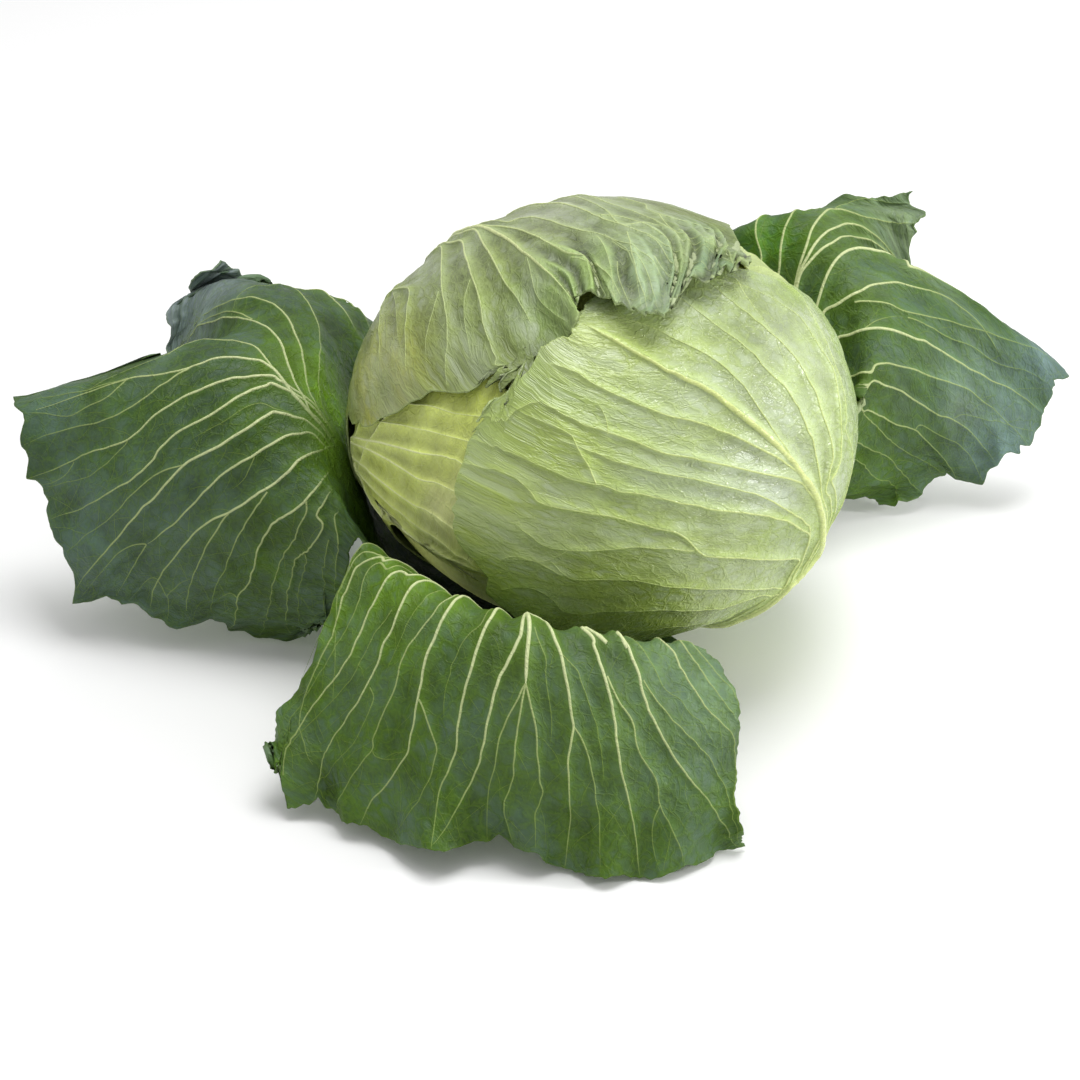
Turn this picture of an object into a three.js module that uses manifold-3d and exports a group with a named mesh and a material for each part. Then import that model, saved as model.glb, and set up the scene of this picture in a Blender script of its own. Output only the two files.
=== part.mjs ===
// A green cabbage, as cut and set down: a tight head wrapped in four pale leaves, with three dark
// outer leaves that rise beside the head, arch over and droop to the surface. Millimetres, +Z up,
// +X to the right and +Y to the back. The origin is the centre of the stem's cut face.
import * as THREE from 'three';
import { mergeVertices } from 'three/addons/utils/BufferGeometryUtils.js';
import Module from 'manifold-3d';

const wasm = await Module();
wasm.setup();

// Driving dimensions. Points are laid out from a reference point on the surface near the stem.
const STEM_AT = new THREE.Vector3(-20, 2, 0);
const STEM_RADIUS = 16;
const STEM_TOP = 30;
const HEAD_CENTRE = new THREE.Vector3(-25, 4, 89.5);
const HEAD_RADII = new THREE.Vector3(100, 100, 82);
const HEART_INSET = 7.2;
const HEART_STEP = 1.4;
const HEART_LEAVES = 5;
const STEM_GAP = 0.4;
const WRAPPER_THICKNESS = 1.1;
const OUTER_THICKNESS = 1.2;
const MIDRIB_DEPTH = 2.6;
const OUTER_RIB = 1.5;
const WRAPPER_RIB = 0.9;

const COLOURS = {
  outer: 0x3f6030,
  wrapper: 0xa3b76b,
  crown: 0x8a9c6a,
  heart: 0xb4c070,
  stem: 0xd9d8b0,
};

// Natural cubic spline: the weights that carry n evenly spaced values to the place t in 0..1.
function secondDerivatives(n) {
  const rows = [];
  for (let k = 0; k < n; k++) {
    const value = (i) => (i === k ? 1 : 0);
    const c = new Array(n).fill(0);
    const d = new Array(n).fill(0);
    for (let i = 1; i < n - 1; i++) {
      const right = 6 * (value(i - 1) - 2 * value(i) + value(i + 1));
      const pivot = 4 - c[i - 1];
      c[i] = 1 / pivot;
      d[i] = (right - d[i - 1]) / pivot;
    }
    const m = new Array(n).fill(0);
    for (let i = n - 2; i > 0; i--) m[i] = d[i] - c[i] * m[i + 1];
    rows.push(m);
  }
  return rows;
}

function splineWeights(n, t) {
  const m = secondDerivatives(n);
  const x = THREE.MathUtils.clamp(t, 0, 1) * (n - 1);
  const i = Math.min(Math.floor(x), n - 2);
  const f = x - i;
  const g = 1 - f;
  const near = (g ** 3 - g) / 6;
  const far = (f ** 3 - f) / 6;
  return m.map((row, k) => (k === i ? g : 0) + (k === i + 1 ? f : 0) + near * row[i] + far * row[i + 1]);
}

// rows[v][u] of numbers of any length, carried to the place u, v.
function splineAt(rows, u, v) {
  const wv = splineWeights(rows.length, v);
  const wu = splineWeights(rows[0].length, u);
  return rows[0][0].map((_, k) =>
    rows.reduce((sum, row, i) => sum + wv[i] * row.reduce((s, p, j) => s + wu[j] * p[k], 0), 0));
}

const bell = (x, width) => Math.exp(-((x / width) ** 2));

// A free leaf: points in space, from the stem (first row) to the tip (last row).
function spreadSurface(rows, bumps) {
  return (u, v) => {
    const p = new THREE.Vector3(...splineAt(rows, u, v));
    for (const b of bumps) {
      p.addScaledVector(b.by, bell(u - b.u, b.across) * bell(v - b.v, b.along));
    }
    return p;
  };
}

// A leaf on the head: [azimuth, elevation, lift] of each point, azimuth from +X towards +Y.
function headPoint(direction, lift) {
  const normal = direction.clone().divide(HEAD_RADII).normalize();
  return direction.clone().multiply(HEAD_RADII).add(HEAD_CENTRE).addScaledVector(normal, lift);
}

function wrappedSurface(rows) {
  const asDirections = rows.map((row) => row.map(([azimuth, elevation, lift]) => {
    const a = THREE.MathUtils.degToRad(azimuth);
    const e = THREE.MathUtils.degToRad(elevation);
    return [Math.cos(e) * Math.cos(a), Math.cos(e) * Math.sin(a), Math.sin(e), lift];
  }));
  return (u, v) => {
    const [x, y, z, lift] = splineAt(asDirections, u, v);
    return headPoint(new THREE.Vector3(x, y, z).normalize(), lift);
  };
}

// The margin of a leaf: shallow scallops in its outline and waves out of its plane.
function wavedSurface(surface, { scallops, phase = 0, depth, waves, height }) {
  const outline = (u, v) => {
    const tip = 1 - depth * (0.5 - 0.5 * Math.cos(2 * Math.PI * (scallops * u + phase))) * v;
    const side = 1 - depth * (0.5 - 0.5 * Math.cos(Math.PI * scallops * v)) * v;
    return [0.5 + (u - 0.5) * side, v * tip];
  };
  const plain = (u, v) => surface(...outline(u, v));
  return (u, v) => {
    const p = plain(u, v);
    const atTip = bell(1 - v, 0.16) * Math.sin(2 * Math.PI * waves * u);
    const atSide = bell(Math.min(u, 1 - u), 0.12) * Math.sin(2 * Math.PI * waves * v * 0.8) * v ** 3;
    return p.addScaledVector(normalAt(plain, u, v), height * (atTip + atSide));
  };
}

function normalAt(surface, u, v) {
  const step = 0.004;
  const u0 = Math.max(0, u - step);
  const u1 = Math.min(1, u + step);
  const v0 = Math.max(0, v - step);
  const v1 = Math.min(1, v + step);
  const across = surface(u1, v).sub(surface(u0, v));
  const along = surface(u, v1).sub(surface(u, v0));
  return along.cross(across).normalize();
}

// A closed blade. Its upper face is the surface, with ribs on every other column of points, and
// its lower face lies the thickness below, deeper along the midrib.
function blade(surface, { columns, rows, thickness, ribs, midrib, side = 1 }) {
  const upper = [];
  const lower = [];
  for (let i = 0; i <= rows; i++) {
    for (let j = 0; j <= columns; j++) {
      const u = j / columns;
      const v = i / rows;
      const normal = normalAt(surface, u, v).multiplyScalar(side);
      const inside = j > 0 && j < columns && i > 0 && i < rows;
      const rib = inside && j % 2 === 0 ? ribs * (1 - 0.6 * v) : 0;
      const deep = midrib * bell(u - 0.5, 0.09) * (1 - v) ** 2;
      const p = surface(u, v);
      upper.push(p.clone().addScaledVector(normal, rib));
      lower.push(p.clone().addScaledVector(normal, -(thickness + deep)));
    }
  }
  const at = (i, j) => i * (columns + 1) + j;
  const shift = upper.length;
  const faces = [];
  const quad = (a, b, c, d) => faces.push([a, b, c], [a, c, d]);
  for (let i = 0; i < rows; i++) {
    for (let j = 0; j < columns; j++) {
      const [a, b, c, d] = [at(i, j), at(i + 1, j), at(i + 1, j + 1), at(i, j + 1)];
      quad(a, b, c, d);
      faces.push([a + shift, c + shift, b + shift], [a + shift, d + shift, c + shift]);
    }
  }
  const rim = [];
  for (let j = 0; j < columns; j++) rim.push(at(0, j));
  for (let i = 0; i < rows; i++) rim.push(at(i, columns));
  for (let j = columns; j > 0; j--) rim.push(at(rows, j));
  for (let i = rows; i > 0; i--) rim.push(at(i, 0));
  rim.forEach((a, k) => {
    const b = rim[(k + 1) % rim.length];
    quad(a, b, b + shift, a + shift);
  });
  const turned = side > 0 ? faces : faces.map(([a, b, c]) => [a, c, b]);
  const geometry = new THREE.BufferGeometry().setFromPoints([...upper, ...lower]);
  geometry.setIndex(turned.flat());
  return geometry;
}

function solidOf(geometry) {
  const bare = geometry.clone();
  bare.deleteAttribute('normal');
  bare.deleteAttribute('uv');
  const merged = mergeVertices(bare, 1e-4);
  const vertProperties = new Float32Array(merged.attributes.position.array);
  const triVerts = new Uint32Array(merged.index.array);
  return new wasm.Manifold(new wasm.Mesh({ numProp: 3, vertProperties, triVerts }));
}

function geometryOf(solid) {
  const { vertProperties, triVerts } = solid.getMesh();
  const geometry = new THREE.BufferGeometry();
  geometry.setAttribute('position', new THREE.BufferAttribute(new Float32Array(vertProperties), 3));
  geometry.setIndex(new THREE.BufferAttribute(triVerts, 1));
  return geometry;
}

// The tight inner head. Its surface steps where one packed leaf ends on the next.
function heartGeometry(inset, step) {
  const geometry = new THREE.SphereGeometry(1, 36, 20).rotateX(Math.PI / 2);
  const position = geometry.attributes.position;
  const p = new THREE.Vector3();
  for (let i = 0; i < position.count; i++) {
    p.fromBufferAttribute(position, i).normalize();
    const turn = Math.atan2(p.y, p.x) / (2 * Math.PI) + 0.12 * p.z;
    const leaf = (HEART_LEAVES * turn) % 1;
    const share = leaf < 0 ? leaf + 1 : leaf;
    const fade = Math.sqrt(Math.max(0, 1 - p.z * p.z));
    position.setXYZ(i, ...headPoint(p, -inset + step * fade * (share - 0.5)));
  }
  return geometry;
}

function stemGeometry() {
  const profile = [[0, 0], [STEM_RADIUS - 1, 0], [STEM_RADIUS, 1], [STEM_RADIUS, STEM_TOP], [0, STEM_TOP]];
  const turned = new THREE.LatheGeometry(profile.map(([r, z]) => new THREE.Vector2(r, z)), 28);
  turned.rotateX(Math.PI / 2).translate(STEM_AT.x, STEM_AT.y, 0);
  const head = solidOf(heartGeometry(HEART_INSET - STEM_GAP - HEART_STEP / 2, 0));
  return geometryOf(solidOf(turned).subtract(head));
}

// Outer leaves. Each row runs across the leaf, and the rows go from the stem, under the head and up
// its side, over the arch and down to the margin.
const LEFT_LEAF = [
  [[-33, 14, 7.5], [-36, 8, 6.5], [-37.5, 2, 6.5], [-36, -4, 6.5], [-33, -10, 7.5]],
  [[-60, 44, 14], [-70, 22, 9], [-72, 2, 8], [-70, -18, 9], [-60, -34, 14]],
  [[-88, 76, 40], [-106, 42, 34], [-112, 6, 30], [-108, -24, 32], [-94, -46, 36]],
  [[-110, 94, 78], [-126, 54, 89], [-130, 12, 82], [-128, -18, 72], [-116, -42, 62]],
  [[-136, 104, 93], [-152, 70, 110], [-162, 22, 109], [-156, -16, 92], [-121, -42, 47]],
  [[-162, 104, 102], [-182, 84, 110], [-206, 26, 104], [-196, -20, 66], [-127, -37, 27]],
  [[-182, 96, 117], [-205, 86, 96], [-258, 30, 87], [-236, -16, 13], [-142, -26, 0]],
];
const LEFT_BUMPS = [
  { u: 0.37, v: 1, across: 0.07, along: 0.2, by: new THREE.Vector3(18, -6, -44) },
  { u: 0.65, v: 1, across: 0.07, along: 0.2, by: new THREE.Vector3(2, 2, 3) },
  { u: 0.87, v: 1, across: 0.06, along: 0.15, by: new THREE.Vector3(2, 4, 7) },
];
const FRONT_LEAF = [
  [[-31, -12, 7.5], [-26, -14.5, 6.5], [-20, -15.5, 6.5], [-14, -14.5, 6.5], [-9, -12, 7.5]],
  [[-52, -42, 14], [-40, -52, 9], [-24, -55, 8], [-6, -52, 9], [12, -44, 13]],
  [[-88, -60, 40], [-64, -86, 34], [-38, -100, 32], [-10, -98, 32], [18, -88, 30]],
  [[-112, -70, 76], [-88, -102, 76], [-54, -124, 75], [-20, -124, 69], [12, -112, 57]],
  [[-126, -96, 58], [-96, -130, 60], [-58, -148, 58], [-18, -148, 54], [24, -132, 46]],
  [[-146, -118, 26], [-106, -144, 28], [-62, -160, 30], [-18, -166, 28], [22, -152, 22]],
  [[-146, -132, 4], [-112, -153, 3], [-62, -165, 12], [-20, -177, 2], [28, -158, 3]],
];
const FRONT_BUMPS = [
  { u: 0.38, v: 1, across: 0.09, along: 0.2, by: new THREE.Vector3(0, -13, -2) },
];
const RIGHT_LEAF = [
  [[-4, -6, 7], [-2.5, 0, 6.5], [-3.5, 8, 6.5], [-7.5, 14, 6.5], [-13, 18, 7]],
  [[24, 16, 11], [28, 28, 10], [24, 40, 11], [12, 50, 13], [-6, 56, 17]],
  [[50, 46, 24], [70, 58, 38], [60, 78, 48], [38, 92, 52], [12, 100, 56]],
  [[62, 60, 40], [84, 70, 68], [78, 94, 96], [50, 110, 112], [24, 116, 112]],
  [[66, 70, 26], [98, 82, 74], [98, 106, 103], [70, 122, 125], [48, 132, 116]],
  [[76, 80, 12], [128, 90, 56], [138, 112, 86], [98, 130, 118], [84, 146, 122]],
  [[97, 90, 1], [155, 94, 26], [178, 112, 61], [113, 130, 109], [115, 146, 127]],
];
const RIGHT_BUMPS = [
  { u: 0.65, v: 1, across: 0.07, along: 0.25, by: new THREE.Vector3(-20, 0, -14) },
  { u: 0.88, v: 1, across: 0.07, along: 0.15, by: new THREE.Vector3(9, 0, -3) },
  { u: 0.38, v: 1, across: 0.1, along: 0.2, by: new THREE.Vector3(-4, 0, 2) },
  { u: 0.2, v: 1, across: 0.05, along: 0.2, by: new THREE.Vector3(4, 0, -6) },
];

// Leaves on the head: azimuth and elevation in degrees, and the lift of the outer face.
const FRONT_WRAPPER = [
  [[-80, -73, 0], [-60, -73, 0], [-40, -73, 0], [-18, -73, 0], [4, -73, 0]],
  [[-100, -52, 0], [-72, -48, 0], [-38, -45, 0], [-8, -45, 0], [22, -50, 0]],
  [[-112, -30, 0], [-78, -22, 0], [-37, -12, 0], [0, -15, 0], [28, -25, 0]],
  [[-120, -16, 0], [-90, -4, 0], [-48, 5, 0], [-8, 12, 0], [24, 2, 0]],
  [[-124, -2, 0], [-102, 12, 0], [-62, 21, 0], [-22, 36, 0], [12, 30, 0]],
  [[-123, 18, 0], [-110, 27, 0], [-80, 38, 0], [-45, 56, 0], [-10, 56, 0]],
  [[-118, 36, 2.5], [-111, 46, 3], [-102, 52, 3], [-88, 62, 0], [-60, 72, 0]],
];
const LEFT_WRAPPER = [
  [[-195, -73, -3.8], [-185, -73, -3.8], [-178, -73, -3.8], [-170, -73, -3.8], [-160, -73, -3.8]],
  [[-212, -50, -3.8], [-195, -48, -3.8], [-182, -46, -3.8], [-172, -44, -3.8], [-162, -36, -3.8]],
  [[-220, -22, -3.8], [-198, -20, -3.8], [-176, -18, -3.8], [-160, -14, -3.8], [-146, -14, -3.8]],
  [[-222, 2, -3.8], [-196, 2, -3.8], [-170, -2, -3.8], [-146, -8, -3.8], [-119, -20, -3.8]],
  [[-220, 24, -3.8], [-192, 22, -3.8], [-164, 16, -3.8], [-136, 6, -3.8], [-108, -4, -3.8]],
  [[-214, 44, -3.8], [-186, 40, -3.8], [-156, 34, -3.8], [-130, 24, -3.8], [-106, 14, -3.8]],
  [[-200, 60, -3.8], [-176, 56, -3.8], [-148, 50, -3.8], [-124, 42, -3.8], [-108, 32, -3.8]],
];
const CROWN_WRAPPER = [
  [[160, -73, 0], [145, -73, 0], [130, -73, 0], [115, -73, 0], [100, -73, 0]],
  [[178, -42, 0], [155, -40, 0], [130, -38, 0], [105, -40, 0], [82, -46, 0]],
  [[184, -14, 0], [160, -5, 0], [132, 0, 0], [100, -2, 0], [70, -12, 0]],
  [[186, 6, 0], [170, 25, 0], [145, 36, 0], [100, 40, 1], [62, 22, 0]],
  [[203, 9, 0], [195, 42, 0], [172, 60, 0], [92, 76, 3], [40, 52, 1]],
  [[222, 25, 0], [224, 48, -0.5], [222, 67, 2], [-68, 77, 6], [12, 59, 4]],
  [[240, 33, 0.5], [249, 43, -0.5], [260, 56, 3.5], [-76, 54, 9], [-18, 57, 6]],
];
const REAR_WRAPPER = [
  [[85, -73, -3.8], [65, -73, -3.8], [45, -73, -3.8], [28, -73, -3.8], [12, -73, -3.8]],
  [[92, -45, -3.8], [68, -42, -3.8], [42, -42, -3.8], [22, -44, -3.8], [4, -48, -3.8]],
  [[98, -15, -3.8], [70, -10, -3.8], [40, -10, -3.8], [16, -14, -3.8], [-6, -20, -3.8]],
  [[98, 18, -3.8], [70, 20, -3.8], [40, 20, -3.8], [12, 14, -3.8], [-12, 8, -3.8]],
  [[94, 45, -3.8], [66, 46, -3.8], [36, 44, -3.8], [8, 40, -3.8], [-16, 32, -3.8]],
  [[80, 66, -3.8], [50, 64, -3.8], [22, 60, -3.8], [0, 54, -3.8], [-20, 46, -3.8]],
];

// The layout is moved so that the stem's cut face is centred on the origin.
const cabbage = new THREE.Group();
const layout = new THREE.Group();
layout.position.set(-STEM_AT.x, -STEM_AT.y, 0);
cabbage.add(layout);

function add(name, geometry, colour, roughness) {
  geometry.computeVertexNormals();
  const material = new THREE.MeshStandardMaterial({ color: colour, roughness, metalness: 0 });
  const mesh = new THREE.Mesh(geometry, material);
  mesh.name = name;
  layout.add(mesh);
}

function addOuterLeaf(name, rows, bumps, waves, phase) {
  const margin = { scallops: 5, phase, depth: 0.02, waves, height: 3 };
  const surface = wavedSurface(spreadSurface(rows, bumps), margin);
  const shape = { columns: 22, rows: 20, thickness: OUTER_THICKNESS, ribs: OUTER_RIB, midrib: MIDRIB_DEPTH };
  add(name, blade(surface, shape), COLOURS.outer, 0.5);
}

// The outer face is on the other side (-1) where the rows' azimuths increase from left to right.
function addWrapper(name, rows, colour, columns, count, waves, side) {
  const surface = wavedSurface(wrappedSurface(rows), waves);
  const shape = { columns, rows: count, thickness: WRAPPER_THICKNESS, ribs: WRAPPER_RIB, midrib: 0, side };
  add(name, blade(surface, shape), colour, 0.45);
}

addOuterLeaf('outer_leaf_left', LEFT_LEAF, LEFT_BUMPS, 6, 0.6);
addOuterLeaf('outer_leaf_front', FRONT_LEAF, FRONT_BUMPS, 6, 0);
addOuterLeaf('outer_leaf_right', RIGHT_LEAF, RIGHT_BUMPS, 5, 0.5);
addWrapper('wrapper_leaf_front', FRONT_WRAPPER, COLOURS.wrapper, 20, 18,
  { scallops: 5, depth: 0.012, waves: 5, height: 0.35 }, -1);
addWrapper('wrapper_leaf_left', LEFT_WRAPPER, COLOURS.heart, 16, 16,
  { scallops: 4, depth: 0.012, waves: 4, height: 0.3 }, -1);
addWrapper('wrapper_leaf_crown', CROWN_WRAPPER, COLOURS.crown, 20, 20,
  { scallops: 4, depth: 0.02, waves: 7, height: 0.8 }, 1);
addWrapper('wrapper_leaf_rear', REAR_WRAPPER, COLOURS.wrapper, 14, 14,
  { scallops: 4, depth: 0.012, waves: 4, height: 0.3 }, 1);
add('heart', heartGeometry(HEART_INSET, HEART_STEP), COLOURS.heart, 0.45);
add('stem', stemGeometry(), COLOURS.stem, 0.7);

export default cabbage;
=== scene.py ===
import math

import bpy
import numpy as np
from mathutils import Matrix, Vector


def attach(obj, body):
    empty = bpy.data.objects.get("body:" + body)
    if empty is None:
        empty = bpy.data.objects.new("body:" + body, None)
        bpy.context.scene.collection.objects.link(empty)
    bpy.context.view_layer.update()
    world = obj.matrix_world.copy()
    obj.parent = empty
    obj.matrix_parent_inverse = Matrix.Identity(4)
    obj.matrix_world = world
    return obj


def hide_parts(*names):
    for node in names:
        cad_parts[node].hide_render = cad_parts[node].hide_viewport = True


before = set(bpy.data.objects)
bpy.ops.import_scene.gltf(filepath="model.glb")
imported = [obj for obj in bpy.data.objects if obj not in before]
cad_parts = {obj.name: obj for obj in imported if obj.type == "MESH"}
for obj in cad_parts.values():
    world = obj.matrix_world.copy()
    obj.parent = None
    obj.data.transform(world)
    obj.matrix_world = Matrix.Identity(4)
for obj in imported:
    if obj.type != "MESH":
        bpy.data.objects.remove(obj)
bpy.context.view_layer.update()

# The cabbage is laid out in millimetres round a point on the surface, as its solids are, and moved so that
# the stem's cut face is centred on the origin. Vein lines and patches of colour are placed by pixels of the
# 1080 x 1080 photograph, carried through the camera onto the leaf they belong to.
MM = 0.001
STEM_AT = np.array([-20.0, 2.0, 0.0])
HEAD_CENTRE = np.array([-25.0, 4.0, 89.5])
HEAD_RADII = np.array([100.0, 100.0, 82.0])
STEM_RADIUS = 16.0
HEART_INSET = 7.2
HEART_STEP = 1.4
HEART_STEP_RUN = 0.07
HEART_LEAVES = 5
HEART_TWIST = 0.12

FRAME_PX = 1080
CAMERA_AT = np.array([-48.8, 0.0, 37.7])
CAMERA_ELEVATION = 30.0
CAMERA_DISTANCE = 1100.0
FOCAL_PX = 2750.0
SENSOR_MM = 36.0


def camera_axes():
    """The camera's place, and its axes to the right, up and back."""
    e = math.radians(CAMERA_ELEVATION)
    back = np.array([0.0, -math.cos(e), math.sin(e)])
    right = np.array([1.0, 0.0, 0.0])
    return CAMERA_AT + back * CAMERA_DISTANCE, right, np.cross(back, right), back


def project(points):
    """Pixels of the photograph at which points are seen, and their depth."""
    eye, right, up, back = camera_axes()
    d = points - eye
    depth = -(d @ back)
    x = FRAME_PX / 2 + FOCAL_PX * (d @ right) / depth
    y = FRAME_PX / 2 - FOCAL_PX * (d @ up) / depth
    return np.stack([x, y], -1), depth


# Numbers

def spline_matrix(n, t):
    """Weights that carry n even values to the places t, by a natural cubic spline, straight beyond 0..1."""
    a = np.eye(n)
    b = np.zeros((n, n))
    for i in range(1, n - 1):
        a[i, i - 1:i + 2] = 1, 4, 1
        b[i, i - 1:i + 2] = 6, -12, 6
    m = np.linalg.solve(a, b)
    x = np.clip(t, 0, 1) * (n - 1)
    i = np.minimum(x.astype(int), n - 2)
    f = x - i
    g = 1 - f
    beyond = t * (n - 1) - x
    w = np.zeros((len(x), n))
    r = np.arange(len(x))
    w[r, i] += g - beyond
    w[r, i + 1] += f + beyond
    left = (g**3 - g) / 6 + beyond * (1 - 3 * g**2) / 6
    right = (f**3 - f) / 6 + beyond * (3 * f**2 - 1) / 6
    return w + left[:, None] * m[i] + right[:, None] * m[i + 1]


def bell(x, width):
    return np.exp(-((x / width) ** 2))


NOISE_CELLS = 64
OCTAVE_SHIFT_X = 17
OCTAVE_SHIFT_Y = 5


def noise(x, y, seed):
    """Smooth noise in -1..1 with one lump per unit."""
    n = NOISE_CELLS
    g = np.random.default_rng(seed).uniform(-1, 1, (n, n))
    xi = np.floor(x).astype(int)
    yi = np.floor(y).astype(int)
    fx = x - xi
    fy = y - yi
    fx = fx * fx * (3 - 2 * fx)
    fy = fy * fy * (3 - 2 * fy)
    a = g[yi % n, xi % n] * (1 - fx) + g[yi % n, (xi + 1) % n] * fx
    b = g[(yi + 1) % n, xi % n] * (1 - fx) + g[(yi + 1) % n, (xi + 1) % n] * fx
    return a * (1 - fy) + b * fy


def fractal(x, y, seed, octaves=3):
    """Noise of several sizes, each half as broad and half as strong as the one before."""
    total = 0
    for k in range(octaves):
        layer = noise(x * 2**k + OCTAVE_SHIFT_X * k, y * 2**k + OCTAVE_SHIFT_Y * k, seed + k)
        total = total + layer / 2**k
    return total


def blurred(a, cells):
    """A field smoothed by three box blurs."""
    r = max(1, int(round(cells)))
    for axis in (0, 1) * 3:
        pad = [(r + 1, r) if k == axis else (0, 0) for k in range(2)]
        c = np.cumsum(np.pad(a, pad, mode="edge"), axis=axis)
        n = a.shape[axis]
        hi = np.take(c, np.arange(2 * r + 1, 2 * r + 1 + n), axis=axis)
        lo = np.take(c, np.arange(n), axis=axis)
        a = (hi - lo) / (2 * r + 1)
    return a


def sampled(field, u, v):
    """A lattice field read between its points at u, v."""
    h, w = field.shape[:2]
    x = np.clip(u, 0, 1) * (w - 1)
    y = np.clip(v, 0, 1) * (h - 1)
    i = np.minimum(y.astype(int), h - 2)
    j = np.minimum(x.astype(int), w - 2)
    fx = x - j
    fy = y - i
    if field.ndim == 3:
        fx = fx[..., None]
        fy = fy[..., None]
    top = field[i, j] * (1 - fx) + field[i, j + 1] * fx
    low = field[i + 1, j] * (1 - fx) + field[i + 1, j + 1] * fx
    return top * (1 - fy) + low * fy


def unit(a):
    return a / np.maximum(np.linalg.norm(a, axis=-1, keepdims=True), 1e-9)


# Leaf surfaces

def spline_at(rows, u, v):
    """The surface through a grid of points, at u across and v along."""
    g = np.asarray(rows, float)
    along = np.tensordot(spline_matrix(g.shape[0], v.ravel()), g, axes=(1, 0))
    p = np.einsum("nj,njk->nk", spline_matrix(g.shape[1], u.ravel()), along)
    return p.reshape(*u.shape, g.shape[2])


def head_point(direction, lift):
    """A point on the head's ellipsoid, lifted off it."""
    normal = unit(direction / HEAD_RADII)
    return HEAD_CENTRE + HEAD_RADII * direction + normal * np.asarray(lift)[..., None]


def spread_surface(rows, bumps):
    """A leaf through a grid of points, pushed out or in by bumps."""
    def at(u, v):
        p = spline_at(rows, u, v)
        for bu, bv, across, along, by in bumps:
            p = p + (bell(u - bu, across) * bell(v - bv, along))[..., None] * np.array(by)
        return p
    return at


def wrapped_surface(rows):
    """A leaf on the head, whose rows are turned round where that is needed to have its outer face outward."""
    g = np.asarray(rows, float)
    if g[1, -1, 0] > g[1, 0, 0]:
        g = g[:, ::-1]
    a = np.radians(g[..., 0])
    e = np.radians(g[..., 1])
    d = np.stack([np.cos(e) * np.cos(a), np.cos(e) * np.sin(a), np.sin(e), g[..., 2]], -1)

    def at(u, v):
        s = spline_at(d, u, v)
        return head_point(unit(s[..., :3]), s[..., 3])
    return at


def heart_surface(u, v):
    """The tight inner head, stepped where one packed leaf ends on the next."""
    a = 2 * math.pi * (u + 0.25)
    e = math.pi * (v - 0.5)
    d = np.stack([np.cos(e) * np.cos(a), np.cos(e) * np.sin(a), np.sin(e)], -1)
    share = (HEART_LEAVES * (a / (2 * math.pi) + HEART_TWIST * d[..., 2])) % 1
    top = 1 - HEART_STEP_RUN
    share = np.where(share > top, (1 - share) / HEART_STEP_RUN, share / top)
    return head_point(d, -HEART_INSET + HEART_STEP * np.cos(e) * (share - 0.5))


WAVE_NUDGE = 0.004
TIP_WAVE_REACH = 0.16
SIDE_WAVE_REACH = 0.12
SIDE_WAVE_RATE = 0.8


def waved(surface, scallops, depth, waves, height, phase=0.0):
    """The margin of a leaf as in the solids: scallops in its outline, and waves out of its plane."""
    def plain(u, v):
        tip = 1 - depth * (0.5 - 0.5 * np.cos(2 * math.pi * (scallops * u + phase))) * v
        side = 1 - depth * (0.5 - 0.5 * np.cos(math.pi * scallops * v)) * v
        return surface(0.5 + (u - 0.5) * side, v * tip)

    def at(u, v):
        across = plain(u + WAVE_NUDGE, v) - plain(u - WAVE_NUDGE, v)
        along = plain(u, v + WAVE_NUDGE) - plain(u, v - WAVE_NUDGE)
        turns = 2 * math.pi * waves
        at_tip = bell(1 - v, TIP_WAVE_REACH) * np.sin(turns * u)
        at_side = bell(np.minimum(u, 1 - u), SIDE_WAVE_REACH) * np.sin(turns * v * SIDE_WAVE_RATE) * v**3
        return plain(u, v) + unit(np.cross(along, across)) * (height * (at_tip + at_side))[..., None]
    return at


def pixels(text):
    """The pixels that a text lists."""
    return [tuple(map(float, at.split(","))) for at in text.split()]


NEAR_PX = 2.0
FRONT_DEPTH = 6


def nearest(px, depth, x, y):
    """The index of the lattice point that the photograph shows at a pixel."""
    d = ((px - (x, y)) ** 2).sum(-1)
    near = d <= (math.sqrt(d.min()) + NEAR_PX) ** 2
    front = depth[near].min()
    d = np.where(near & (depth < front + FRONT_DEPTH), d, np.inf)
    return np.unravel_index(int(d.argmin()), d.shape)


FIT_REACH = 0.09
FIT_FROM = 0.3
FIT_COLUMNS = 420
FIT_ROWS = 380
FIT_TAPER = 0.06
TIP_GRIP = 10
SIDE_GRIP = 9
TOOTH_MEAN = 0.35
# Share of the teeth's depth, teeth per unit along the margin, and step of the seed
TOOTH_SIZES = ((0.2, 16, 2), (0.3, 46, 0), (0.4, 110, 1))
TIP_TEETH = 3.5
START_TEETH = 7.5
END_TEETH = 16.5


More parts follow.
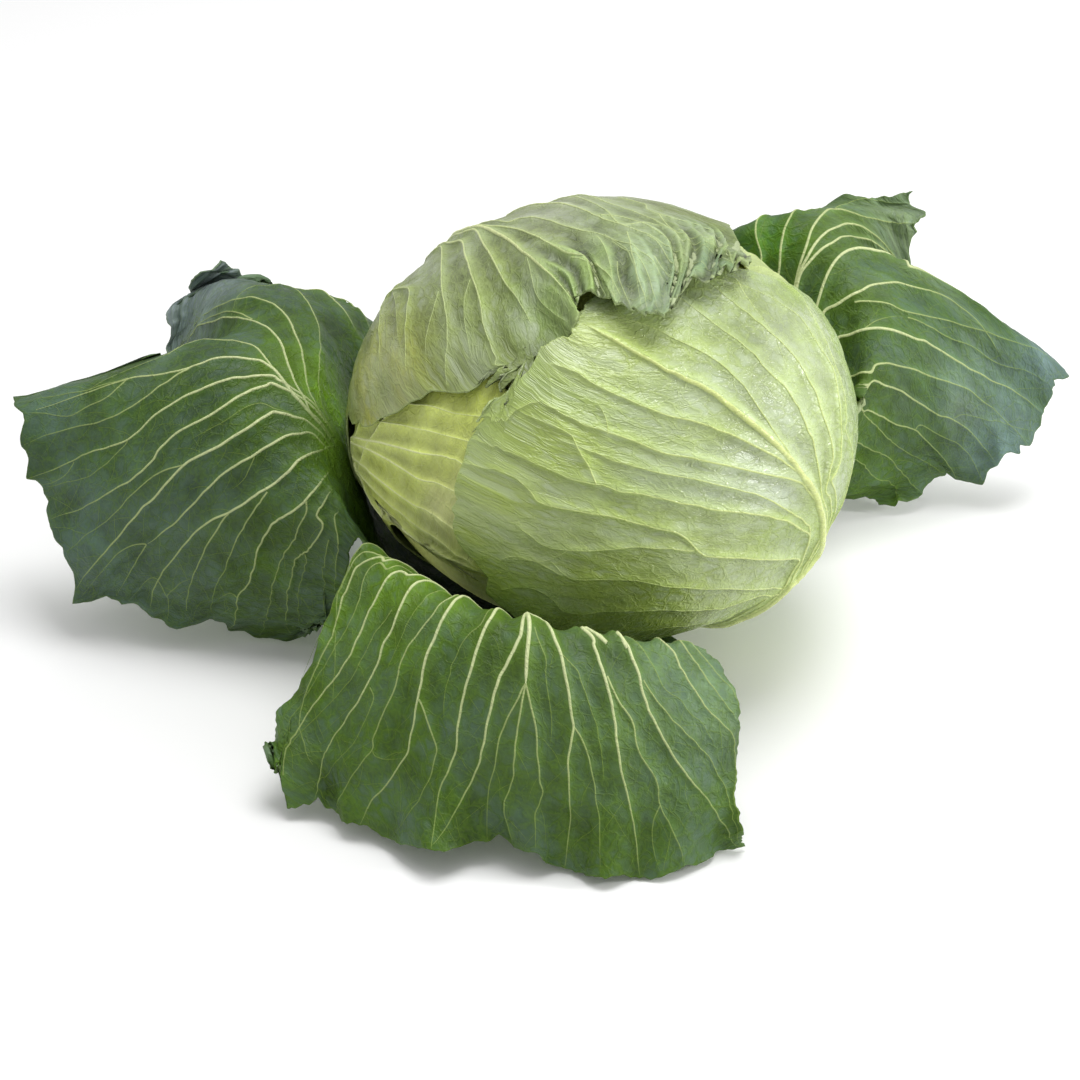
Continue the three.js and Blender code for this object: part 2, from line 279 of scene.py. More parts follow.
def fitted(surface, teeth, seed, tip="", start="", end=""):
    """The surface with its margins moved to lie on pixels of the photograph, and finely toothed."""
    columns = np.linspace(-FIT_REACH, 1 + FIT_REACH, FIT_COLUMNS)
    u, v = np.meshgrid(columns, np.linspace(FIT_FROM, 1 + FIT_REACH, FIT_ROWS))
    px, depth = project(surface(u, v))

    def places(text):
        spots = [nearest(px, depth, x, y) for x, y in pixels(text)]
        return [(u[s], v[s]) for s in spots]

    def moved(points, rest):
        """How far the margin moves, by the place along it."""
        if not points:
            return lambda s: 0.0 * s
        points = sorted(points)
        at = np.array([p[0] for p in points])
        by = np.array([p[1] - rest for p in points])
        at = np.concatenate([[at[0] - FIT_TAPER], at, [at[-1] + FIT_TAPER]])
        by = np.concatenate([[0], by, [0]])
        return lambda s: np.interp(s, at, by)

    tip_by = moved(places(tip), 1.0)
    start_by = moved([(b, a) for a, b in places(start)], 0.0)
    end_by = moved([(b, a) for a, b in places(end)], 1.0)

    def jag(s, row):
        deep = TOOTH_MEAN
        for share, rate, step in TOOTH_SIZES:
            deep = deep + share * noise(s * rate, s * 0 + row, seed + step)
        return teeth * deep

    def at(u, v):
        grown = np.clip(v * 2 - 0.4, 0, 1)
        new_v = v + (tip_by(u) - jag(u, TIP_TEETH)) * v**TIP_GRIP
        new_u = u + (start_by(v) + jag(v, START_TEETH) * grown) * np.clip(1 - u, 0, 2) ** SIDE_GRIP
        new_u = new_u + (end_by(v) - jag(v, END_TEETH) * grown) * np.clip(u, 0, 2) ** SIDE_GRIP
        return surface(new_u, new_v)
    return at


def srgb(code):
    """The linear colour of a hexadecimal code."""
    c = np.array([int(code[k:k + 2], 16) / 255 for k in (0, 2, 4)])
    return np.where(c < 0.04045, c / 12.92, ((c + 0.055) / 1.055) ** 2.4)


PACKING = 0.4


def packed(t):
    """Rows lie closer together towards the margin."""
    return (1 + PACKING) * t - PACKING * t * t


def unpacked(v):
    """The row that packed places at v."""
    root = np.sqrt((1 + PACKING) ** 2 - 4 * PACKING * np.clip(v, 0, 1))
    return (1 + PACKING - root) / (2 * PACKING)


# Sizes of the lattice, of lines and of relief, in millimetres where nothing else is said
CELL = 0.6
ROOT_RUN = ((0.35, 0), (0.5, 0.35), (0.8, 0.7))
ROOT_FADE = (0.0, 0.02)
# Strength of the painted shading from the relief: shade painted into its hollows, light painted onto its
# ridges
PAINTED_RELIEF_SHADE = 0.3
LINE_STEP = 0.5
LINE_LEAST = 8
VEIN_REACH = 1.6
VEIN_CELLS = (2, 24)
FULL_VEIN = 1.6
MARK_WIDTH = 0.55
RIDGE_WIDTH = 0.75
LEAST_GO = 1.0
LEAST_HEADING = 0.45
DRAWN_PX = 9
ROOT_POINTS = 16
TIP_RUN = 0.12
MAIN_VEIN = 2.4
HIGHEST_VEIN = 1.7
DRAWN = 1.0
GUESSED = 0.9
TWIG = 0.5
TWIG_STEP = 0.9
TWIG_ANGLES = (35, 62)
TWIG_BENDS = (0.015, 0.045)
TWIG_SWAY = 0.07
TWIG_LENGTHS = (0.4, 1.0)
TWIG_WIDTHS = (0.7, 1.25)
TWIG_GAPS = (0.5, 1.3)
TWIG_END_GAP = 2
TWIG_HEADING_STEPS = 6
TWIG_LOWEST = 0.02
TWIG_FREE_STEPS = 4
TWIG_STOP = 0.45
TWIG_STRIDE = 3
TWIG_SHARE = 0.8
TWIG_TAPER = 0.6
PLEAT_FADE_V = 0.12
PLEAT_FADE_U = 0.08
PLEAT_SWAY = 0.8
PLEAT_SWAY_ACROSS = 30
PLEAT_SWAY_ALONG = 18
PLEAT_LENGTH = 60
PATCH_WOBBLE = 0.45
WOBBLE_SIZE = 22
CREASE_CELLS = 14
CREASE_REACH = 3.5
CREASE_LIMIT = 9.0
CREASE_TAPER = 12
CREASE_EDGE = 0.5
CREASE_WIDTH = 2.0
CREASE_MOST = 1.4
NEAR_BLUR = 1.8
NEAR_GAIN = 1.9
RIDGE_BLUR = 2.4
# Blur and depth of the painted shading from the relief
HOLLOW_BLUR = 3.0
HOLLOW_DEPTH = 0.9
BROAD_LUMPS = (26, 34)
FINE_LUMPS = (8, 9)
RUFFLE_SIZE = 16
BASE_FADE = 0.12
RIM_REACH = 14
EDGE_REACH = 20


class Leaf:
    """A leaf's smooth surface on a fine lattice, with its veins, relief and colour."""

    def __init__(self, surface, size, cell=CELL, base=ROOT_RUN, fade=ROOT_FADE, painted_relief_shade=PAINTED_RELIEF_SHADE):
        self.base = base
        self.fade = fade
        self.painted_relief_shade = painted_relief_shade
        w, h = (int(x / cell) for x in size)
        self.u, self.v = np.meshgrid(np.linspace(0, 1, w), np.linspace(0, 1, h))
        self.p = surface(self.u, self.v)
        self.pu = np.gradient(self.p, axis=1) * (w - 1)
        self.pv = np.gradient(self.p, axis=0) * (h - 1)
        self.n = unit(np.cross(self.pv, self.pu))
        self.px, self.depth = project(self.p)
        self.du = np.linalg.norm(self.pu, axis=-1)
        self.dv = np.linalg.norm(self.pv, axis=-1)
        across = np.cumsum(self.du, axis=1) / (w - 1)
        along = np.cumsum(self.dv, axis=0) / (h - 1)
        self.grain = np.stack([across - across[:, w // 2:w // 2 + 1], along], -1)
        self.edge = np.minimum(np.minimum(self.u, 1 - self.u) * self.du, (1 - self.v) * self.dv)
        self.vein = np.zeros((h, w))
        self.relief = np.zeros((h, w))
        self.fold = np.zeros((h, w))
        self.lines = []

    def locate(self, x, y):
        """The u, v of the part of the leaf that the photograph shows at a pixel."""
        i, j = nearest(self.px, self.depth, x, y)
        return j / (self.px.shape[1] - 1), i / (self.px.shape[0] - 1)

    def press(self, line, w0, w1, height, level, held=0.0):
        """Marks a vein along u, v points: w0 wide for the share held of its points, then narrowing to w1."""
        q = np.asarray(line, float)
        t = np.linspace(0, 1, max(LINE_LEAST, len(q) * 6))
        rough = sampled(self.p, *(spline_matrix(len(q), t) @ q).T)
        length = np.linalg.norm(np.diff(rough, axis=0), axis=1).sum()
        t = np.linspace(0, 1, max(LINE_LEAST, int(length / LINE_STEP)))
        q = spline_matrix(len(q), t) @ q
        inside = ((q >= 0) & (q <= 1)).all(1)
        q = q[inside]
        t = t[inside]
        if len(q) < 6:
            return
        width = w0 + (w1 - w0) * np.clip((t - held) / (1 - held), 0, 1)
        s = sampled(self.p, q[:, 0], q[:, 1])
        h, w = self.vein.shape
        ci = np.rint(q[:, 1] * (h - 1)).astype(int)
        cj = np.rint(q[:, 0] * (w - 1)).astype(int)
        reach = VEIN_REACH * max(w0, w1)
        ri = int(np.clip(reach / np.median(self.dv[ci, cj]) * (h - 1), *VEIN_CELLS)) + 1
        rj = int(np.clip(reach / np.median(self.du[ci, cj]) * (w - 1), *VEIN_CELLS)) + 1
        di, dj = np.meshgrid(np.arange(-ri, ri + 1), np.arange(-rj, rj + 1), indexing="ij")
        i = ci[:, None] + di.ravel()
        j = cj[:, None] + dj.ravel()
        ok = (i >= 0) & (i < h) & (j >= 0) & (j < w)
        i = i.clip(0, h - 1)
        j = j.clip(0, w - 1)
        d = np.linalg.norm(self.p[i, j] - s[:, None], axis=-1) / width[:, None]
        at = (i * w + j)[ok]
        thin = np.sqrt(width / max(w0, w1))[:, None]
        mark = min(1, w0 / FULL_VEIN) * thin * bell(d, MARK_WIDTH)
        ridge = height * thin**2 * bell(d, RIDGE_WIDTH)
        np.maximum.at(self.vein.reshape(-1), at, mark[ok])
        np.maximum.at(self.relief.reshape(-1), at, ridge[ok])
        self.lines.append((q, width, level))

    def steady(self, q):
        """The points of a line without those at which it turns back on itself, told from its far end."""
        at = np.array(q)
        s = sampled(self.p, at[:, 0], at[:, 1])
        kept = [len(q) - 1]
        heading = None
        for k in range(len(q) - 2, -1, -1):
            go = s[k] - s[kept[-1]]
            if np.linalg.norm(go) < LEAST_GO:
                continue
            go = unit(go)
            if heading is not None and go @ heading < LEAST_HEADING:
                continue
            heading = go
            kept.append(k)
        return [q[k] for k in reversed(kept)]

    def draw(self, table, height):
        """The veins of a table: width at each end, whether they run on to base or margin, and pixels."""
        for w0, w1, ends, text in table:
            line = np.array(pixels(text))
            length = np.linalg.norm(np.diff(line, axis=0), axis=1).sum()
            count = max(len(line), int(length / DRAWN_PX))
            line = spline_matrix(len(line), np.linspace(0, 1, count)) @ line
            q = self.steady([self.locate(x, y) for x, y in line])
            seen = len(q)
            if "b" in ends:
                u, v = q[0]
                root = np.array([(0.5 + (u - 0.5) * k, v * m) for k, m in self.base] + [(u, v)])
                run = spline_matrix(len(root), np.linspace(0, 1, ROOT_POINTS)) @ root
                q = [tuple(at) for at in run[:-1]] + q
            if "t" in ends:
                du, dv = (q[-1][k] - q[-2][k] for k in (0, 1))
                k = TIP_RUN / max(math.hypot(du, dv), 1e-6)
                q = q + [(q[-1][0] + du * k * s, q[-1][1] + dv * k * s) for s in (0.5, 1.0)]
            held = 1 - seen / len(q) if "b" in ends else 0.0
            self.press(q, w0, w1, height * min(HIGHEST_VEIN, w0 / MAIN_VEIN), DRAWN, held)

    def branch(self, seed, every, reach, width, height):
        """Side veins that fork off the drawn ones and stop at the next."""
        rng = np.random.default_rng(seed)
        h, w = self.vein.shape
        drawn = self.vein.copy()
        pairs = ((self.pu, self.pu), (self.pu, self.pv), (self.pv, self.pv))
        a, b, c = ((x * y).sum(-1) for x, y in pairs)
        det = np.maximum(a * c - b * b, 1e-6)
        for q, wide, _ in list(self.lines):
            s = sampled(self.p, q[:, 0], q[:, 1])
            run = np.concatenate([[0], np.cumsum(np.linalg.norm(np.diff(s, axis=0), axis=1))])
            at = rng.uniform(TWIG_END_GAP, every)
            hand = 1
            while at < run[-1] - TWIG_END_GAP:
                k = int(np.searchsorted(run, at))
                ahead = min(k + TWIG_HEADING_STEPS, len(q) - 1)
                heading = s[ahead] - s[max(ahead - 2 * TWIG_HEADING_STEPS, 0)]
                u, v = q[min(k, len(q) - 1)]
                turn = hand * math.radians(rng.uniform(*TWIG_ANGLES))
                bend = -turn * rng.uniform(*TWIG_BENDS)
                steps = int(rng.uniform(*TWIG_LENGTHS) * reach / TWIG_STEP)
                path = [(u, v)]
                for n in range(steps):
                    i = min(int(v * (h - 1)), h - 1)
                    j = min(int(u * (w - 1)), w - 1)
                    normal = self.n[i, j]
                    heading = heading - normal * (heading @ normal)
                    heading = heading / max(np.linalg.norm(heading), 1e-9)
                    aside = np.cross(normal, heading)
                    go = (heading * math.cos(turn) + aside * math.sin(turn)) * TWIG_STEP
                    turn += bend + rng.normal(0, TWIG_SWAY)
                    x = go @ self.pu[i, j]
                    y = go @ self.pv[i, j]
                    u += (c[i, j] * x - b[i, j] * y) / det[i, j]
                    v += (a[i, j] * y - b[i, j] * x) / det[i, j]
                    if not (0 < u < 1 and TWIG_LOWEST < v < 1):
                        break
                    path.append((u, v))
                    if n > TWIG_FREE_STEPS and drawn[int(v * (h - 1)), int(u * (w - 1))] > TWIG_STOP:
                        break
                if len(path) > TWIG_FREE_STEPS + 1:
                    keep = path[::TWIG_STRIDE] + [path[-1]]
                    w0 = min(width * rng.uniform(*TWIG_WIDTHS), wide[min(k, len(wide) - 1)] * TWIG_SHARE)
                    self.press(keep, w0, w0 * TWIG_TAPER, height * w0 / width, TWIG)
                hand = -hand
                at += rng.uniform(*TWIG_GAPS) * every / 2

    def paint(self, base, patches):
        """The leaf's ground colour, with soft patches: a pixel of the photograph, radius and colour."""
        x = self.grain[..., 0]
        y = self.grain[..., 1]
        wobble = 1 + PATCH_WOBBLE * fractal(x / WOBBLE_SIZE, y / WOBBLE_SIZE, 11)
        self.tone = np.empty(self.p.shape)
        self.tone[:] = srgb(base)
        for px, py, radius, colour in patches:
            u, v = self.locate(px, py)
            centre = sampled(self.p, np.array([u]), np.array([v]))
            d = np.linalg.norm(self.p - centre, axis=-1) / radius * wobble
            k = bell(d, 1.0)[..., None]
            self.tone = self.tone * (1 - k) + srgb(colour) * k

    def pleat(self, depth, every, u0, v0, seed):
        """Fine pleats that run along the leaf, beyond u0 and v0."""
        x = self.grain[..., 0]
        y = self.grain[..., 1]
        reach = np.clip((self.v - v0) / PLEAT_FADE_V, 0, 1) * np.clip((self.u - u0) / PLEAT_FADE_U, 0, 1)
        sway = PLEAT_SWAY * noise(x / PLEAT_SWAY_ACROSS, y / PLEAT_SWAY_ALONG, seed)
        fold = 1 - 2 * np.abs(noise(x / every + sway, y / PLEAT_LENGTH, seed + 1))
        self.relief = self.relief + depth * reach * fold
        self.vein = np.maximum(self.vein, 0.5 * reach * np.clip(fold * 2 - 1.2, 0, 1))

    def crease(self, height):
        """A step in the blade along each vein: one side stands higher, and both even out away from it."""
        h, w = self.vein.shape
        best = np.full(h * w, CREASE_LIMIT)
        fold = np.zeros(h * w)
        window = np.arange(-CREASE_CELLS, CREASE_CELLS + 1)
        di, dj = np.meshgrid(window, window, indexing="ij")
        centre = di.size // 2
        for q, width, level in self.lines:
            if level < GUESSED or len(q) < CREASE_TAPER:
                continue
            s = sampled(self.p, q[:, 0], q[:, 1])
            t = np.gradient(s, axis=0)[::2]
            s = s[::2]
            q = q[::2]
            width = width[::2]
            i = np.rint(q[:, 1] * (h - 1)).astype(int)[:, None] + di.ravel()
            j = np.rint(q[:, 0] * (w - 1)).astype(int)[:, None] + dj.ravel()
            normal = self.n[i[:, centre].clip(0, h - 1), j[:, centre].clip(0, w - 1)]
            side = unit(np.cross(normal, t))
            ok = (i >= 0) & (i < h) & (j >= 0) & (j < w)
            i = i.clip(0, h - 1)
            j = j.clip(0, w - 1)
            to = self.p[i, j] - s[:, None]
            far = np.linalg.norm(to, axis=-1)
            hand = np.clip((to * side[:, None]).sum(-1) / CREASE_EDGE, -1, 1)
            place = np.arange(len(q))
            taper = np.clip(np.minimum(place, len(q) - 1 - place) / CREASE_TAPER, 0, 1)
            strength = taper * np.clip(width / CREASE_WIDTH, 0, CREASE_MOST)
            step = hand * np.exp(-far / CREASE_REACH) * strength[:, None]
            at = (i * w + j)[ok]
            far = far[ok]
            step = step[ok]
            near = far < best[at]
            at = at[near]
            far = far[near]
            step = step[near]
            order = np.argsort(-far)
            best[at[order]] = far[order]
            fold[at[order]] = step[order]
        self.fold = height * blurred(fold.reshape(h, w), 1)

    def shape(self, columns, rows, ridge, crumple, ruffle, seed):
        """The displaced surface, and the grid of points that the mesh takes from it."""
        x = self.grain[..., 0]
        y = self.grain[..., 1]
        cell = 1.0 / max(np.median(self.du) ** -1 * self.p.shape[1], 1e-6)
        self.near = np.clip(blurred(self.vein, NEAR_BLUR / cell) * NEAR_GAIN, 0, 1)
        broad = blurred(self.vein, RIDGE_BLUR / cell)
        rise = self.relief * self.shown(self.v) + ridge * broad / max(np.quantile(broad, 0.98), 1e-6)
        broad_lumps = fractal(x / BROAD_LUMPS[0], y / BROAD_LUMPS[1], seed)
        fine_lumps = fractal(x / FINE_LUMPS[0], y / FINE_LUMPS[1], seed + 5)
        rise = rise + crumple * (0.6 * broad_lumps + 0.4 * fine_lumps)
        rise = rise + self.fold
        # Painted shading: the tone is darkened in hollows of the relief and lightened on its ridges
        painted_shading = np.clip((blurred(rise, HOLLOW_BLUR / cell) - rise) / HOLLOW_DEPTH, -1, 1)
        self.tone = self.tone * (1 - self.painted_relief_shade * painted_shading)[..., None]
        rim = np.exp(-self.edge / RIM_REACH)
        rise = rise + ruffle * rim * fractal(x / RUFFLE_SIZE, y / RUFFLE_SIZE, seed + 9, 2)
        fade = np.clip(self.v / BASE_FADE, 0, 1)
        raised = self.p + self.n * (rise * fade)[..., None]
        t = np.linspace(0, 1, rows + 1)
        self.gu, self.gv = np.meshgrid(np.linspace(0, 1, columns + 1), packed(t))
        self.grid = sampled(raised, self.gu, self.gv)
        across = np.gradient(self.grid, axis=1)
        along = np.gradient(self.grid, axis=0)
        self.grid_n = unit(np.cross(along, across))

    def shown(self, v):
        """The share of a vein that stands out of the blade, from none at the base."""
        t = np.clip((v - self.fade[0]) / (self.fade[1] - self.fade[0]), 0, 1)
        return t * t * (3 - 2 * t)

    def looks(self, u, v):
        """The colour fields at u, v."""
        return {
            "grain": np.concatenate([sampled(self.grain, u, v), np.zeros((len(u), 1))], -1),
            "tone": sampled(self.tone, u, v),
            "near": sampled(self.near, u, v),
            "edge": np.clip(sampled(self.edge, u, v) / EDGE_REACH, 0, 1),
        }


def mesh_object(name, points, faces, looks, material):
    """A smooth mesh from groups of faces, in metres about the origin, that rides on the root body."""
    mesh = bpy.data.meshes.new(name)
    sizes = np.concatenate([np.full(len(f), f.shape[1], np.int32) for f in faces])
    loops = np.concatenate([f.astype(np.int32).ravel() for f in faces])
    starts = np.concatenate([[0], np.cumsum(sizes)[:-1]]).astype(np.int32)
    mesh.vertices.add(len(points))
    mesh.vertices.foreach_set("co", ((points - STEM_AT * (1, 1, 0)) * MM).astype(np.float32).ravel())
    mesh.loops.add(len(loops))
    mesh.loops.foreach_set("vertex_index", loops)
    mesh.polygons.add(len(sizes))
    mesh.polygons.foreach_set("loop_start", starts)
    mesh.polygons.foreach_set("loop_total", sizes)
    mesh.update(calc_edges=True)
    mesh.validate()
    for key, values in looks.items():
        kind, field = "FLOAT_VECTOR", "vector"
        if values.ndim == 1:
            kind, field = "FLOAT", "value"
        elif key == "tone":
            kind, field = "FLOAT_COLOR", "color"
            values = np.concatenate([values, np.ones((len(values), 1))], -1)
        data = mesh.attributes.new(key, kind, "POINT").data
        data.foreach_set(field, values.astype(np.float32).ravel())
    mesh.polygons.foreach_set("use_smooth", np.ones(len(sizes), bool))
    mesh.materials.append(material)
    piece = bpy.data.objects.new(name, mesh)
    bpy.context.scene.collection.objects.link(piece)
    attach(piece, "root")
    return piece


def quads_of(at):
    """Four-sided faces between the rows and columns of a grid of point numbers."""
    return np.stack([at[:-1, :-1], at[1:, :-1], at[1:, 1:], at[:-1, 1:]], -1).reshape(-1, 4)


def rim_of(at):
    """The point numbers round the border of a grid, each once."""
    return np.concatenate([at[0, :-1], at[:-1, -1], at[-1, :0:-1], at[:0:-1, 0]])


STRIDE = 3
MIDRIB_WIDTH = 0.09


def blade_object(leaf, name, thickness, midrib, material):
    """A closed blade: the displaced surface above, and a coarser face below, thicker along the midrib."""
    top = leaf.grid
    h, w = top.shape[:2]
    low_u = leaf.gu[::STRIDE, ::STRIDE]
    low_v = leaf.gv[::STRIDE, ::STRIDE]
    deep = midrib * bell(low_u - 0.5, MIDRIB_WIDTH) * (1 - low_v) ** 2
    deep = deep + 0.5 * sampled(leaf.relief, low_u, low_v)
    low = top[::STRIDE, ::STRIDE] - leaf.grid_n[::STRIDE, ::STRIDE] * (thickness + deep)[..., None]
    lh, lw = low.shape[:2]
    at = np.arange(h * w).reshape(h, w)
    below = np.arange(lh * lw).reshape(lh, lw) + h * w
    rim = rim_of(at)
    low_rim = rim_of(below)
    n = len(rim)
    k = np.arange(len(low_rim))
    fan = [rim[(k * STRIDE + m) % n] for m in range(STRIDE + 1)]
    band = [np.stack([fan[m], fan[m + 1], low_rim], -1) for m in range(STRIDE)]
    band.append(np.stack([fan[-1], np.roll(low_rim, -1), low_rim], -1))
    faces = [quads_of(at), quads_of(below)[:, [0, 3, 2, 1]], np.concatenate(band)]
    u = np.concatenate([leaf.gu.ravel(), low_u.ravel()])
    v = np.concatenate([leaf.gv.ravel(), low_v.ravel()])
    looks = leaf.looks(u, v)
    side = np.zeros(len(u))
    side[h * w:] = 1
    looks["under"] = side
    looks["rib"] = np.zeros(len(u))
    looks["level"] = np.zeros(len(u))
    points = np.concatenate([top.reshape(-1, 3), low.reshape(-1, 3)])
    return mesh_object(name, points, faces, looks, material)


STRIP_ACROSS = np.array([-1, -0.6, 0, 0.6, 1])
STRIP_RISE = np.array([-0.12, 0.62, 1, 0.62, -0.12])
STRIP_TINT = np.array([0, 0.75, 1, 0.75, 0])
VEIN_SLIM = 0.27
TWIG_SLIM = 0.2
STRIP_SUNK = 0.3
STRIP_CLEAR = 0.02
TIP_SLIM = 0.35
TIP_STEPS = 10
START_SLIM = 0.5
START_STEPS = 6
LEVEL_WIDTH = 2.0
LEVEL_CUT = 0.3


def vein_object(leaf, name, material, lift):
    """Every vein of the leaf as a low rounded strip that lies on the blade."""
    us = []
    vs = []
    highs = []
    tints = []
    levels = []
    counts = []
    h, w = leaf.p.shape[:2]
    wide = len(STRIP_ACROSS)
    for q, width, level in leaf.lines:
        q = q[::2]
        half = width[::2] * (VEIN_SLIM if level > GUESSED else TWIG_SLIM)
        if len(q) < 3:
            continue
        i = np.rint(q[:, 1] * (h - 1)).astype(int)
        j = np.rint(q[:, 0] * (w - 1)).astype(int)
        pu = leaf.pu[i, j]
        pv = leaf.pv[i, j]
        t = np.gradient(sampled(leaf.p, q[:, 0], q[:, 1]), axis=0)
        side = unit(np.cross(leaf.n[i, j], t))
        a, b, c = ((m * n).sum(-1) for m, n in ((pu, pu), (pu, pv), (pv, pv)))
        x = (side * pu).sum(-1)
        y = (side * pv).sum(-1)
        det = np.maximum(a * c - b * b, 1e-6)
        go = np.stack([(c * x - b * y) / det, (a * y - b * x) / det], -1)
        end = np.arange(len(q))
        half = half * np.clip(TIP_SLIM + (len(q) - 1 - end) / TIP_STEPS, 0, 1)
        if level < GUESSED:
            half = half * np.clip(START_SLIM + end / START_STEPS, 0, 1)
        uv = q[:, None] + go[:, None] * (half[:, None] * STRIP_ACROSS)[..., None]
        shown = leaf.shown(q[:, 1])[:, None]
        us.append(uv[..., 0].clip(0, 1))
        vs.append(uv[..., 1].clip(0, 1))
        highs.append(half[:, None] * STRIP_RISE * lift - STRIP_SUNK * (1 - shown))
        tints.append(shown * STRIP_TINT)
        strong = np.clip(width[::2, None] / LEVEL_WIDTH - LEVEL_CUT, 0, 1)
        levels.append(np.full((len(q), wide), level) * strong)
        counts.append(len(q))
    u, v, high = (np.concatenate(x) for x in (us, vs, highs))
    t = unpacked(v)
    points = sampled(leaf.grid, u, t) + sampled(leaf.grid_n, u, t) * (high + STRIP_CLEAR)[..., None]
    starts = np.concatenate([[0], np.cumsum(counts)])
    rows = wide * np.concatenate([np.arange(a, b - 1) for a, b in zip(starts[:-1], starts[1:])])
    bands = [np.stack([rows, rows + wide, rows + wide + 1, rows + 1], -1) + k for k in range(wide - 1)]
    looks = leaf.looks(u.ravel(), v.ravel())
    looks["under"] = np.zeros(u.size)
    looks["rib"] = np.concatenate(tints).ravel()
    looks["level"] = np.concatenate(levels).ravel()
    return mesh_object(name, points.reshape(-1, 3), [np.concatenate(bands)], looks, material)


# Control points, as in the solids

LEFT_LEAF = [
    [(-33, 14, 7.5), (-36, 8, 6.5), (-37.5, 2, 6.5), (-36, -4, 6.5), (-33, -10, 7.5)],
    [(-60, 44, 14), (-70, 22, 9), (-72, 2, 8), (-70, -18, 9), (-60, -34, 14)],
    [(-88, 76, 40), (-106, 42, 34), (-112, 6, 30), (-108, -24, 32), (-94, -46, 36)],
    [(-110, 94, 78), (-126, 54, 89), (-130, 12, 82), (-128, -18, 72), (-116, -42, 62)],
    [(-136, 104, 93), (-152, 70, 110), (-162, 22, 109), (-156, -16, 92), (-121, -42, 47)],
    [(-162, 104, 102), (-182, 84, 110), (-206, 26, 104), (-196, -20, 66), (-127, -37, 27)],
    [(-182, 96, 117), (-205, 86, 96), (-258, 30, 87), (-236, -16, 13), (-142, -26, 0)],
]
LEFT_BUMPS = [
    (0.37, 1, 0.07, 0.2, (18, -6, -44)),
    (0.65, 1, 0.07, 0.2, (2, 2, 3)),
    (0.87, 1, 0.06, 0.15, (2, 4, 7)),
]
FRONT_LEAF = [
    [(-31, -12, 7.5), (-26, -14.5, 6.5), (-20, -15.5, 6.5), (-14, -14.5, 6.5), (-9, -12, 7.5)],
    [(-52, -42, 14), (-40, -52, 9), (-24, -55, 8), (-6, -52, 9), (12, -44, 13)],
    [(-88, -60, 40), (-64, -86, 34), (-38, -100, 32), (-10, -98, 32), (18, -88, 30)],
    [(-112, -70, 76), (-88, -102, 76), (-54, -124, 75), (-20, -124, 69), (12, -112, 57)],
    [(-126, -96, 58), (-96, -130, 60), (-58, -148, 58), (-18, -148, 54), (24, -132, 46)],
    [(-146, -118, 26), (-106, -144, 28), (-62, -160, 30), (-18, -166, 28), (22, -152, 22)],
    [(-146, -132, 4), (-112, -153, 3), (-62, -165, 12), (-20, -177, 2), (28, -158, 3)],
]
FRONT_BUMPS = [(0.38, 1, 0.09, 0.2, (0, -13, -2))]
RIGHT_LEAF = [
    [(-4, -6, 7), (-2.5, 0, 6.5), (-3.5, 8, 6.5), (-7.5, 14, 6.5), (-13, 18, 7)],
    [(24, 16, 11), (28, 28, 10), (24, 40, 11), (12, 50, 13), (-6, 56, 17)],
    [(50, 46, 24), (70, 58, 38), (60, 78, 48), (38, 92, 52), (12, 100, 56)],
    [(62, 60, 40), (84, 70, 68), (78, 94, 96), (50, 110, 112), (24, 116, 112)],
    [(66, 70, 26), (98, 82, 74), (98, 106, 103), (70, 122, 125), (48, 132, 116)],
    [(76, 80, 12), (128, 90, 56), (138, 112, 86), (98, 130, 118), (84, 146, 122)],
    [(97, 90, 1), (155, 94, 26), (178, 112, 61), (113, 130, 109), (115, 146, 127)],
]
RIGHT_BUMPS = [
    (0.65, 1, 0.07, 0.25, (-20, 0, -14)),
    (0.88, 1, 0.07, 0.15, (9, 0, -3)),
    (0.38, 1, 0.1, 0.2, (-4, 0, 2)),
    (0.2, 1, 0.05, 0.2, (4, 0, -6)),
]
FRONT_WRAPPER = [
    [(-80, -73, 0), (-60, -73, 0), (-40, -73, 0), (-18, -73, 0), (4, -73, 0)],
    [(-100, -52, 0), (-72, -48, 0), (-38, -45, 0), (-8, -45, 0), (22, -50, 0)],
    [(-112, -30, 0), (-78, -22, 0), (-37, -12, 0), (0, -15, 0), (28, -25, 0)],
    [(-120, -16, 0), (-90, -4, 0), (-48, 5, 0), (-8, 12, 0), (24, 2, 0)],
    [(-124, -2, 0), (-102, 12, 0), (-62, 21, 0), (-22, 36, 0), (12, 30, 0)],
    [(-123, 18, 0), (-110, 27, 0), (-80, 38, 0), (-45, 56, 0), (-10, 56, 0)],
    [(-118, 36, 2.5), (-111, 46, 3), (-102, 52, 3), (-88, 62, 0), (-60, 72, 0)],
]
LEFT_WRAPPER = [
    [(-195, -73, -3.8), (-185, -73, -3.8), (-178, -73, -3.8), (-170, -73, -3.8), (-160, -73, -3.8)],
    [(-212, -50, -3.8), (-195, -48, -3.8), (-182, -46, -3.8), (-172, -44, -3.8), (-162, -36, -3.8)],
    [(-220, -22, -3.8), (-198, -20, -3.8), (-176, -18, -3.8), (-160, -14, -3.8), (-146, -14, -3.8)],
    [(-222, 2, -3.8), (-196, 2, -3.8), (-170, -2, -3.8), (-146, -8, -3.8), (-119, -20, -3.8)],
    [(-220, 24, -3.8), (-192, 22, -3.8), (-164, 16, -3.8), (-136, 6, -3.8), (-108, -4, -3.8)],
    [(-214, 44, -3.8), (-186, 40, -3.8), (-156, 34, -3.8), (-130, 24, -3.8), (-106, 14, -3.8)],
    [(-200, 60, -3.8), (-176, 56, -3.8), (-148, 50, -3.8), (-124, 42, -3.8), (-108, 32, -3.8)],
]
